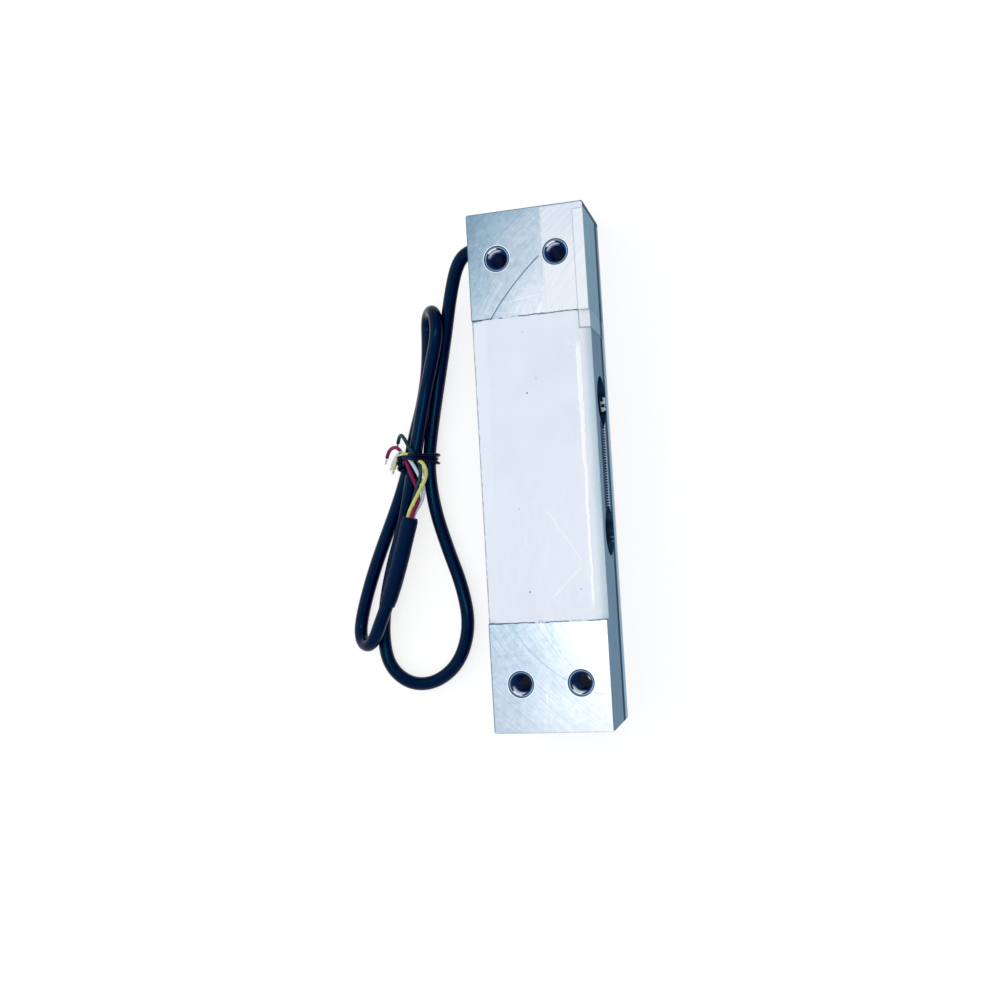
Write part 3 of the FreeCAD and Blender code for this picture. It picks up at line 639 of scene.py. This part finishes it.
def arc_mark(net, x, y, circle, width, low_y, high_y):
    """1 on an arc, between two places along the beam."""
    (centre_x, centre_y), radius = circle
    far = net.hypot(net.minus(x, centre_x * MM), net.minus(y, centre_y * MM))
    line = net.band(far, radius, width * 0.35, width)
    return net.times(line, net.beyond(y, low_y), net.short_of(y, high_y))


def cutter_arcs(net, x, y, stretch):
    """Coordinates for a noise drawn out along the arcs of a wide cutter that went across."""
    arc = net.add(x, net.math("SQRT", net.minus(CUTTER_RADIUS_SQUARED, net.times(y, y))))
    return net.join(net.times(arc, 2600), net.times(y, stretch), 0.0)


def contact_shadow_line(net, z):
    """1 on the painted contact shadow, a dark line low along the right side, which the label and
    the tape show too.
    """
    return net.band(z, 5.6, 1.4, 1.8)


def tooth_beat(net, y):
    """0 on the crest of each tooth in the slot, 0.5 in the hollow between two."""
    return net.size(net.minus(net.math("FRACT", net.times(y, TEETH_PER_METRE)), 0.5))


def toward_glint(net, x, y):
    """How far a place in a bolt hole lies from its axis, up and to the left, in metres."""
    up = net.minus(net.size(y), BOLT_Y * MM)
    left = net.minus(net.times(net.math("SIGN", x), BOLT_X * MM), x)
    return net.add(net.times(up, 0.9), net.times(left, 0.45))


def light_and_wear(net, x, y, cut, broad):
    """How bright the upper face is: rubbed patches and cut marks, plus a painted light gradient
    that is brighter to the right and darker in the far left corner.
    """
    patch = net.noise(net.coords, 640.0, 4.0, 0.7)
    cable_end = net.rise(y, -20, 20)
    load_end = net.minus(1.0, cable_end)
    # painted light: the terms in x and y brighten the face to the right and darken the far left
    # corner; the noises are rubbed patches and cut marks
    slope = net.add(net.times(x, 8.0), net.times(y, -14.0), 0.7)
    lit_and_worn = net.add(net.times(x, 14.0), 0.56, net.times(net.rise(y, -62, -44, 0.12, 0.04), load_end),
                   net.times(cable_end, slope), net.swing(cut, 0.6), net.swing(patch, 0.5))
    return net.math("ADD", lit_and_worn, net.swing(broad, 0.3), clamp=True)


def upper_face(net, x, y, lit_and_worn):
    """Brushed metal toned by the painted light and the rubbing, with two cutter arcs, two scratches
    and a dark joint by the compound.
    """
    top = net.ramp(lit_and_worn, (0.0, (0.14, 0.24, 0.34)), (0.35, (0.33, 0.44, 0.54)),
                   (0.65, (0.56, 0.64, 0.73)), (1.0, (0.83, 0.86, 0.9)))
    upper_arc = arc_mark(net, x, y, ARC_UPPER, 0.24, 38, 52.5)
    lower_arc = arc_mark(net, x, y, ARC_LOWER, 0.22, -56, -38)
    top = net.mix(net.times(upper_arc, 0.85), top, (0.05, 0.11, 0.2))
    top = net.mix(net.times(lower_arc, 0.5), top, (0.22, 0.33, 0.45))
    bright = net.most(net.times(scratch(net, x, y, (-4.9, 41.8), (3.1, 42.9), 0.14), 0.5),
                      scratch(net, x, y, (-1.1, -55.7), (-1.2, -57.6), 0.15))
    top = net.mix(net.times(bright, 0.8), top, (0.9, 0.94, 0.98))
    ragged = net.swing(net.noise(net.coords, 700.0, 3.0), 0.5 * MM)
    joint = net.fall(net.add(net.size(y), ragged), RECESS_END + 0.16, RECESS_END + 0.32)
    return net.mix(net.times(joint, 0.9), top, (0.02, 0.06, 0.12))


def side_face(net, x, y, z, cut, broad):
    """Duller metal painted darker as shade; on the right a pale strip painted as the shaded floor,
    the painted contact shadow and a dark end line, and by the slot a band of painted shadow above
    it and tooth marks painted with highlights below it.
    """
    # painted shade: the side is written darker than the upper face, as less light falls on it
    side = net.ramp(net.add(net.times(cut, 0.7), net.times(broad, 0.3)),
                    (0.3, (0.12, 0.2, 0.29)), (0.7, (0.2, 0.3, 0.41)))
    right = net.beyond(x, HALF_WIDTH - 0.5)
    # painted shadow: a pale strip at the foot of the right side stands for the shaded floor beside
    # it
    side = net.mix(net.times(net.fall(z, 3.8, 4.2), right, 0.9), side, (0.34, 0.5, 0.62))
    # painted contact shadow along the right side
    side = net.mix(net.times(contact_shadow_line(net, z), right), side, (0.004, 0.02, 0.06))
    end_line = net.rise(y, HALF_LENGTH - 1.3, HALF_LENGTH - 1)
    side = net.mix(net.times(end_line, right), side, (0.01, 0.04, 0.09))
    by_slot = net.times(right, net.fall(net.size(y), SLOT_END + 0.25, SLOT_END + 1.55))
    # painted shadow: a dark band on the side just above the slot
    slot_shadow = net.band(z, SLOT_TOP + 1.5, 1.6, 1.9)
    side = net.mix(net.times(slot_shadow, by_slot), side, (0.002, 0.008, 0.04))
    # painted highlights: bright tooth marks in a row just below the slot
    lit_teeth = net.between(tooth_beat(net, y), 0.1, 0.2, 1.0, 0.0)
    lit_teeth = net.times(lit_teeth, net.band(z, SLOT_BOTTOM - 0.5, 0.5, 0.7), by_slot)
    return net.mix(lit_teeth, side, (0.7, 0.84, 0.95))


def bolt_mouth(net, x, y, far):
    """Rings round a bolt hole, by distance from its axis: the hole painted dark as shade, the
    countersink, a ring of painted shade, a bright rim as a painted highlight, and a painted glint.
    """
    start, end = (THREAD_DRILL - 0.1) * MM, (THREAD_DRILL + 1.1) * MM
    # painted light: the dark hole and the dark ring stand for shade, the pale rim for a highlight
    dark, shaded_ring, rim = (0.01, 0.03, 0.09), (0.01, 0.04, 0.11), (0.8, 0.88, 0.95)
    mouth = net.ramp(net.times(net.minus(far, start), 1 / (end - start)),
                     (0.0, dark), (0.3, dark), (0.38, (0.22, 0.34, 0.5)), (0.5, (0.2, 0.31, 0.45)),
                     (0.58, shaded_ring), (0.72, shaded_ring), (0.82, rim), (1.0, rim))
    glint = net.times(net.between(net.math("DIVIDE", toward_glint(net, x, y), far), 0.86, 0.94),
                      net.band(far, THREAD_DRILL + 0.12, 0.08, 0.18))
    return net.mix(glint, mouth, (0.9, 0.95, 1.0))


def bore_glint(net, x, y, z):
    """1 on the painted glint, a torn bright patch near the right mouth of each flexure bore."""
    upper = net.times(net.band(y, FLEX_AT - 0.3, 1.6, 2.1),
                      net.rise(x, HALF_WIDTH - 1.6, HALF_WIDTH - 1))
    lower = net.times(net.band(y, -FLEX_AT - 2, 0.4, 0.9, 0.5),
                      net.rise(x, HALF_WIDTH - 1.1, HALF_WIDTH - 0.7))
    torn = net.between(net.noise(net.coords, 800.0, 2.0, 0.7), 0.47, 0.5)
    return net.times(net.most(upper, lower), net.short_of(z, HALF_HEIGHT - 2.5), torn)


def aluminium():
    """Milled bar: rubbed upper face with painted light, duller sides painted darker as shade, bolt
    holes ringed with painted shade and highlights, and flexure bores painted dark as shade with a
    painted glint.
    """
    net = material_net("milled_aluminium")
    x, y, z = net.split()
    facing = net.split(net.node("ShaderNodeNewGeometry").outputs["Normal"])
    near_edge = net.times(net.short_of(y, 0.4 - HALF_LENGTH), net.beyond(z, BEAM_HEIGHT - 0.7))
    level = net.most(net.between(net.size(facing[2]), 0.8, 0.95), near_edge)
    along_side = net.join(net.times(z, 2200), net.times(y, 90), net.times(x, 60))
    cut = net.noise(net.mix_vectors(level, along_side, cutter_arcs(net, x, y, 60)), 1.0, 4.0, 0.7)
    broad = net.noise(net.stretch((1, 0.6, 1)), 90.0, 2.0)
    lit_and_worn = light_and_wear(net, x, y, cut, broad)
    colour = net.mix(level, side_face(net, x, y, z, cut, broad), upper_face(net, x, y, lit_and_worn))

    far = net.hypot(net.minus(net.size(x), BOLT_X * MM), net.minus(net.size(y), BOLT_Y * MM))
    by_bolt = net.short_of(far, THREAD_DRILL + 1)
    colour = net.mix(by_bolt, colour, bolt_mouth(net, x, y, far))

    reach = FLEX_RADIUS + 0.15
    in_bore = net.times(net.short_of(net.size(y), FLEX_AT + reach),
                        net.short_of(net.size(net.minus(z, HALF_HEIGHT * MM)), reach),
                        net.math("LESS_THAN", net.size(facing[0]), 0.5))
    # painted shade inside the flexure bores
    bore = net.ramp(broad, (0.35, (0.012, 0.03, 0.11)), (0.65, (0.03, 0.1, 0.2)))
    # painted glint near the right mouth of each flexure bore; there the surface is not metallic
    glint_in_bore = net.times(bore_glint(net, x, y, z), in_bore)
    colour = net.mix(in_bore, colour, bore)
    colour = net.mix(glint_in_bore, colour, (0.72, 0.88, 1.0))
    return net.set(
        Base_Color=colour,
        Metallic=net.minus(1.0, glint_in_bore),
        Specular_Tint=(0.6, 0.72, 0.82),
        Roughness=net.mix(level, (0.55, 0.55, 0.55), net.between(lit_and_worn, 0.0, 1.0, 0.42, 0.3)),
        Normal=net.bump(cut, 0.2, 0.00003),
    )


def sealant():
    """Cast silicone with ragged dark edges, a slope on the right painted darker as shade, a wavy
    crown there with a painted highlight, and scratches.
    """
    net = material_net("silicone_sealant")
    x, y, _ = net.split()
    cloud = net.noise(net.coords, 120.0, 4.0)
    fine = net.noise(net.coords, 2600.0, 2.0)
    waves = net.noise(net.stretch((1.0, 0.4, 1.0)), 210.0, 2.0)
    tone = net.ramp(cloud, (0.3, (0.74, 0.79, 0.87)), (0.7, (0.77, 0.82, 0.9)))
    # painted shade on the slope down to the right edge
    slope = net.rise(x, HALF_WIDTH - 2.4, HALF_WIDTH - 0.1)
    tone = net.mix(net.times(slope, 0.85), tone, (0.4, 0.56, 0.64))

    # painted highlight: a bright wavy band along the crown near the right edge
    sway = net.noise(net.join(0.0, y, 0.0), 130.0, 3.0, 0.7)
    ridge = net.add(net.swing(sway, 1.6 * MM), (HALF_WIDTH - 3.25) * MM)
    half_width = net.rise(y, -20, 22, 0.22 * MM, 0.5 * MM)
    crown = net.fall(net.minus(net.size(net.minus(x, ridge)), half_width), 0.0, 0.16)
    crown = net.times(crown, net.band(y, -2, 30, 34))
    tone = net.mix(net.times(crown, 0.9), tone, (0.97, 0.985, 1.0))

    marks = [scratch(net, x, y, start, end, 0.14) for start, end in DEEP_SCRATCHES]
    marks += [scratch(net, x, y, start, end, 0.1) for start, end in FINE_SCRATCHES]
    tone = net.mix(net.times(net.most(*marks), 0.65), tone, (0.96, 0.98, 1.0))

    wander = net.swing(net.noise(net.coords, 700.0, 3.0), 0.6 * MM)
    end_edge = net.rise(net.add(net.size(y), wander), RECESS_END - 0.15, RECESS_END)
    left_edge = net.rise(net.minus(wander, x), HALF_WIDTH - 0.4, HALF_WIDTH - 0.1)
    right_edge = net.rise(net.add(wander, x), HALF_WIDTH - 0.2, HALF_WIDTH)
    dark = net.most(end_edge, net.times(left_edge, 0.8), net.times(right_edge, 0.3))
    tone = net.mix(net.times(dark, 0.85), tone, (0.04, 0.1, 0.18))
    return net.set(
        Base_Color=tone,
        Roughness=net.between(cloud, 0.3, 0.7, 0.26, 0.34),
        Normal=net.bump(fine, 0.04, 0.00005, net.bump(waves, 0.4, 0.0005)),
    )


def label_paper():
    """Pale film label with a thin darker edge; its side is in shade."""
    net = material_net("side_label")
    x, y, z = net.split()
    fibres = net.noise(net.coords, 1800.0, 4.0)
    waves = net.noise(net.coords, 180.0, 2.0)
    on_side = net.beyond(x, HALF_WIDTH + 0.02)
    edge = net.most(net.fall(x, FLAP_EDGE + 0.12, FLAP_EDGE + 0.26),
                    net.rise(y, LABEL_TO - 0.4, LABEL_TO - 0.2),
                    net.fall(y, LABEL_FROM + 0.2, LABEL_FROM + 0.4),
                    net.times(on_side, net.fall(z, LABEL_LOW + 0.2, LABEL_LOW + 0.5)))
    tone = net.ramp(fibres, (0.3, (0.74, 0.8, 0.86)), (0.7, (0.8, 0.85, 0.9)))
    tone = net.mix(net.times(on_side, 0.9), tone, (0.16, 0.31, 0.41))
    # painted contact shadow crossing the label's side
    tone = net.mix(net.times(contact_shadow_line(net, z), on_side), tone, (0.004, 0.03, 0.08))
    tone = net.mix(net.times(edge, 0.7), tone, (0.12, 0.2, 0.3))
    return net.set(
        Base_Color=tone,
        Roughness=net.between(fibres, 0.3, 0.7, 0.5, 0.65),
        Specular_IOR_Level=0.15,
        Normal=net.bump(waves, 0.2, 0.0002),
    )


def tape_film():
    """Milky film; the cut marks and the label's flap show through it as faint lines.

    On the side it lies straight on the label, so it has the label's tone there, which is painted
    shade, with the painted contact shadow, and hides it.
    """
    net = material_net("clear_tape")
    x, y, z = net.split()
    wrinkle = net.noise(net.stretch((1, 0.5, 1)), 340.0, 3.0)
    streak = net.noise(cutter_arcs(net, x, y, 70), 1.0, 4.0, 0.7)
    shade = net.add(streak, net.times(net.rise(y, 46, 64), -0.22))
    film = net.ramp(shade, (0.1, (0.66, 0.77, 0.87)), (0.4, (0.87, 0.92, 0.98)),
                    (0.7, (0.97, 0.985, 1.0)))
    flap_x = FLAP_EDGE + 0.05
    past_edge, before_end = net.beyond(x, flap_x), net.short_of(y, LABEL_TO)
    film = net.mix(net.times(past_edge, before_end, 0.6), film, (0.93, 0.96, 1.0))
    flap_line = net.most(net.times(net.band(x, flap_x, 0.06, 0.16), before_end),
                         net.times(net.band(y, LABEL_TO, 0.06, 0.16), past_edge))
    film = net.mix(net.times(flap_line, 0.6), film, (0.3, 0.44, 0.56))
    rim = net.band(x, TAPE_EDGE + 0.25, 0.06, 0.14)
    film = net.mix(net.times(rim, 0.35), film, (0.5, 0.64, 0.76))

    on_side = net.beyond(x, HALF_WIDTH - 0.05)
    # painted shade: the label's shaded tone on the tape's side
    side = net.ramp(wrinkle, (0.3, (0.18, 0.34, 0.45)), (0.7, (0.22, 0.38, 0.5)))
    # painted contact shadow crossing the tape's side
    side = net.mix(contact_shadow_line(net, z), side, (0.004, 0.03, 0.08))
    end_line = net.rise(y, LABEL_TO, LABEL_TO + 0.3)
    side = net.mix(net.times(end_line, 0.9), side, (0.01, 0.04, 0.09))
    alpha = net.between(streak, 0.3, 0.7, 0.91, 0.96)
    return net.set(
        Base_Color=net.mix(on_side, film, side),
        Roughness=net.add(net.between(streak, 0.3, 0.7, 0.12, 0.22), net.times(on_side, 0.45)),
        Specular_IOR_Level=net.between(on_side, 0.0, 1.0, 0.3, 0.12),
        Alpha=net.math("MULTIPLY", alpha, net.between(on_side, 0.0, 1.0, 1.0, 1.03), clamp=True),
        Normal=net.bump(wrinkle, 0.3, 0.0003),
    )


MATERIALS = {
    "beam_aluminium": aluminium(),
    "sealant": sealant(),
    "label": label_paper(),
    "tape": tape_film(),
    "jacket": jacket("pvc_jacket", (0.11, 0.15)),
    "shrink": jacket("shrink_sleeve", (0.34, 0.55), 0.3),
    "tie": jacket("tie_wire", (0.15, 0.22)),
    "core_yellow": plastic("core_yellow", (0.52, 0.52, 0.12), (0.68, 0.68, 0.22),
                           Specular_IOR_Level=0.25),
    "core_green": plastic("core_green", (0.0, 0.025, 0.04), (0.0, 0.05, 0.065),
                          Specular_IOR_Level=0.15),
    "core_white": plastic("core_white", (0.52, 0.62, 0.73), (0.66, 0.75, 0.86),
                          Specular_IOR_Level=0.25),
    "core_red": plastic("core_red", (0.17, 0.003, 0.045), (0.26, 0.01, 0.075),
                        Specular_IOR_Level=0.15),
    "tinned_copper": metal("tinned_copper", (0.6, 0.62, 0.62), (0.78, 0.8, 0.8), 4000.0),
    "gauge_film": plastic("gauge_film", (0.55, 0.3, 0.08), (0.65, 0.38, 0.12)),
    "terminal": metal("terminal_pads", (0.75, 0.6, 0.32), (0.85, 0.7, 0.42)),
    "board": plastic("bridge_board", (0.02, 0.16, 0.06), (0.03, 0.22, 0.08)),
    "resistor": plastic("trim_resistor", (0.02, 0.02, 0.02), (0.05, 0.05, 0.05)),
    "lead_insulation": plastic("lead_insulation", (0.6, 0.1, 0.06), (0.7, 0.14, 0.08)),
    "jumper_wire": metal("jumper_wire", (0.7, 0.4, 0.2), (0.8, 0.5, 0.28)),
    "seal": plastic("cable_seal", (0.01, 0.012, 0.02), (0.02, 0.024, 0.035)),
}
CAD_MATERIALS = {
    "beam_aluminium": ["beam"],
    "sealant": ["sealant_front", "sealant_back"],
    "gauge_film": ["gauge_front_cable", "gauge_front_load", "gauge_back_cable", "gauge_back_load"],
    "terminal": ["terminal_front_cable", "terminal_front_load",
                 "terminal_back_cable", "terminal_back_load"],
    "board": ["bridge_board"],
    "resistor": ["trim_resistors"],
    "lead_insulation": ["bridge_leads"],
    "jumper_wire": ["jumpers_front", "jumpers_back"],
    "seal": ["cable_seal"],
    "label": ["label_side"],
    "tape": ["clear_tape"],
}
for name, nodes in CAD_MATERIALS.items():
    for node in nodes:
        for material_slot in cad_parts[node].material_slots:
            material_slot.material = MATERIALS[name]

settle(cable, MATERIALS["jacket"], "jacket", "cable")
settle(sleeve, MATERIALS["shrink"], "shrink", "heat_shrink")
settle(core_tips, MATERIALS["tinned_copper"], "tinned_copper", "core_tips")
settle(cable_tie, MATERIALS["tie"], "tie", "cable_tie")
for colour, core in cores.items():
    settle(core, MATERIALS["core_" + colour], "core_" + colour, "core_" + colour)


# threads in the bolt holes

THREAD_PITCH = 1.0
THREAD_CREST = 2.16
THREAD_LOW, THREAD_HIGH = 1.1, BEAM_HEIGHT - 1.1
THREAD_STEPS = 24


def thread(bolt_x, bolt_y):
    """Both flanks and the crest of an M6 thread on a drilled wall."""
    bm = bmesh.new()
    turns = (THREAD_HIGH - THREAD_LOW) / THREAD_PITCH
    section = ((THREAD_DRILL, -0.42), (THREAD_CREST, -0.06),
               (THREAD_CREST, 0.06), (THREAD_DRILL, 0.42))
    rows = []
    for i in range(int(turns * THREAD_STEPS) + 1):
        angle = 2 * math.pi * i / THREAD_STEPS
        z = THREAD_LOW + THREAD_PITCH * i / THREAD_STEPS
        rows.append([
            bm.verts.new(Vector((bolt_x + radius * math.cos(angle),
                                 bolt_y + radius * math.sin(angle), z + rise)) * MM)
            for radius, rise in section
        ])
    for a, b in zip(rows, rows[1:]):
        for k in range(len(section) - 1):
            bm.faces.new((a[k], a[k + 1], b[k + 1], b[k]))
    return mesh_object("thread", bm)


def shaded_thread():
    """First turns toward the upper left painted bright as a glint, and the turns below painted dark
    as shade.
    """
    net = material_net("shaded_thread")
    x, y, z = net.split()
    off_middle = net.size(net.minus(z, HALF_HEIGHT * MM))
    near_mouth = net.rise(off_middle, HALF_HEIGHT - 3.8, HALF_HEIGHT - 1.4)
    grain = net.noise(net.coords, 500.0, 2.0)
    lit = net.times(net.rise(toward_glint(net, x, y), 1.3, 2.1), near_mouth)
    # painted shade on the turns deep in the hole
    deep = net.ramp(grain, (0.3, (0.006, 0.035, 0.2)), (0.7, (0.012, 0.06, 0.32)))
    # painted glint on the first turns; their other side painted dark as shade
    first_turns = net.mix(lit, (0.006, 0.03, 0.14), (0.9, 0.95, 1.0))
    return net.set(
        Base_Color=net.mix(near_mouth, deep, first_turns),
        Specular_IOR_Level=0.3,
        Roughness=net.between(grain, 0.3, 0.7, 0.3, 0.4),
    )


threads = join("thread_turns", [thread(x, y) for x in (-BOLT_X, BOLT_X) for y in (-BOLT_Y, BOLT_Y)])
settle(threads, shaded_thread(), "beam_aluminium")


# tool marks in the flexure slot

SCALLOP_PITCH = 0.62
SCALLOP_HEIGHT = 0.16
SCALLOP_STEPS = 6
SCALLOP_END = SLOT_END - 0.05
SCALLOP_REACH = HALF_WIDTH - 0.02


def scallops(wall, up):
    """A row of shallow ridges along one wall of the slot, left by the cutter."""
    bm = bmesh.new()
    count = int(2 * SCALLOP_END / SCALLOP_PITCH)
    rows = []
    for i in range(count * SCALLOP_STEPS + 1):
        rise = SCALLOP_HEIGHT * abs(math.sin(math.pi * i / SCALLOP_STEPS)) ** 0.7
        along = -SCALLOP_END + SCALLOP_PITCH * i / SCALLOP_STEPS
        rows.append([bm.verts.new(Vector((across, along, wall + up * (rise - 0.02))) * MM)
                     for across in (-SCALLOP_REACH, SCALLOP_REACH)])
    for a, b in zip(rows, rows[1:]):
        bm.faces.new((a[0], a[1], b[1], b[0]))
    return mesh_object("scallops", bm)


def cutter_marks():
    """Crests painted bright as highlights, with hollows painted dark as shade between them."""
    net = material_net("slot_marks")
    y = net.split()[1]
    grain = net.noise(net.coords, 1500.0)
    lit_crest = net.between(tooth_beat(net, y), 0.08, 0.2, 1.0, 0.0)
    return net.set(
        Base_Color=net.mix(lit_crest, (0.005, 0.02, 0.09), (0.6, 0.78, 0.95)),
        Roughness=net.between(grain, 0.3, 0.7, 0.35, 0.5),
    )


marks = join("slot_scallops", [scallops(SLOT_BOTTOM, 1), scallops(SLOT_TOP, -1)])
settle(marks, cutter_marks(), "beam_aluminium")


# beads and grit on the compound: place and half sizes, or radius, in mm

BEADS = [
    ((-6.0, 38.1, 21.95), (0.9, 0.42, 0.16)), ((-4.7, 38.2, 21.96), (1.1, 0.46, 0.2)),
    ((-3.4, 38.1, 21.95), (0.8, 0.32, 0.14)), ((-8.6, 37.95, 21.94), (1.3, 0.2, 0.1)),
    ((-2.6, -37.9, 21.96), (0.55, 0.4, 0.2)), ((-1.6, -37.75, 21.97), (0.42, 0.5, 0.26)),
    ((-0.9, -38.1, 21.95), (0.4, 0.3, 0.16)), ((6.3, -38.0, 21.95), (0.9, 0.24, 0.1)),
    ((7.7, -38.05, 21.95), (0.8, 0.26, 0.12)), ((9.3, -37.95, 21.95), (1.0, 0.2, 0.1)),
]
SPECKS = [
    ((-1.7, 18.6, 22.0), 0.2), ((0.8, 22.1, 22.0), 0.11), ((-2.0, 33.9, 22.0), 0.1),
    ((-3.9, -30.5, 22.0), 0.2), ((8.9, -30.3, 22.0), 0.13), ((-5.4, -9.9, 22.0), 0.1),
]
SPECK_HEIGHT = 0.05


def bead(place, size, seed):
    """A lumpy ellipsoid."""
    bm = bmesh.new()
    bmesh.ops.create_icosphere(bm, subdivisions=4, radius=1.0)
    for vertex in bm.verts:
        way = vertex.co.normalized()
        lump = 1 + 0.35 * noise.noise(way * 1.7 + Vector((seed, 0, 0)))
        vertex.co = (Vector(place) + way * Vector(size) * lump) * MM
    return mesh_object("bead", bm)


beads = join("sealant_beads", [bead(place, size, k * 3.1) for k, (place, size) in enumerate(BEADS)])
settle(beads, plastic("clear_silicone", (0.42, 0.53, 0.65), (0.8, 0.86, 0.93), 1500.0, (0.2, 0.3)),
       "sealant")
specks = join("grit_specks", [bead(place, (radius, radius, SPECK_HEIGHT), 40 + k)
                              for k, (place, radius) in enumerate(SPECKS)])
settle(specks, plastic("grit", (0.05, 0.08, 0.12), (0.1, 0.15, 0.2)), "seal")


# floor and lights

def add_floor():
    """Pale floor; camera and mirror rays see it as white paper with a faint shadow."""
    bm = bmesh.new()
    bmesh.ops.create_grid(bm, x_segments=1, y_segments=1, size=8)
    floor = mesh_object("floor", bm, smooth=False)
    floor.location.z = -0.0004
    net = material_net("white_floor")
    cloud = net.noise(net.coords, 3.0, 2.0)
    pale = net.ramp(cloud, (0.3, (0.86, 0.86, 0.86)), (0.7, (0.88, 0.88, 0.88)))
    seen = net.seen()
    floor.data.materials.append(net.set(
        Base_Color=net.mix(seen, pale, (0.3, 0.3, 0.3)),
        Roughness=0.95,
        Specular_IOR_Level=0.0,
        Emission_Color=(1.0, 1.0, 1.0),
        Emission_Strength=net.times(seen, 0.76),
    ))


def add_world():
    """An even soft sky, paler overhead; camera and mirror rays see plain white."""
    world = bpy.data.worlds.new("studio")
    scene.world = world
    net = Net(world, "Generated")
    sky = net.ramp(net.split()[2], (0.0, (0.54, 0.57, 0.6)), (1.0, (0.85, 0.86, 0.88)))
    background = net.tree.nodes["Background"]
    net.put(background.inputs["Color"], net.mix(net.seen(), sky, (1.0, 1.0, 1.0)))
    background.inputs["Strength"].default_value = 1.0


def add_light(name, place, target, size, power):
    data = bpy.data.lights.new(name, "AREA")
    data.shape = "RECTANGLE"
    data.size, data.size_y = size
    data.energy = power
    light = link(bpy.data.objects.new(name, data))
    light.location = place
    light.rotation_euler = (Vector(target) - Vector(place)).to_track_quat("-Z", "Y").to_euler()


add_floor()
add_world()
add_light("key", (0.06, -0.02, 0.62), (0.0, -0.02, 0.0), (0.05, 0.4), 0.5)
add_light("fill", (-0.5, 0.15, 0.5), (0, 0, 0.01), (0.5, 0.5), 0.7)
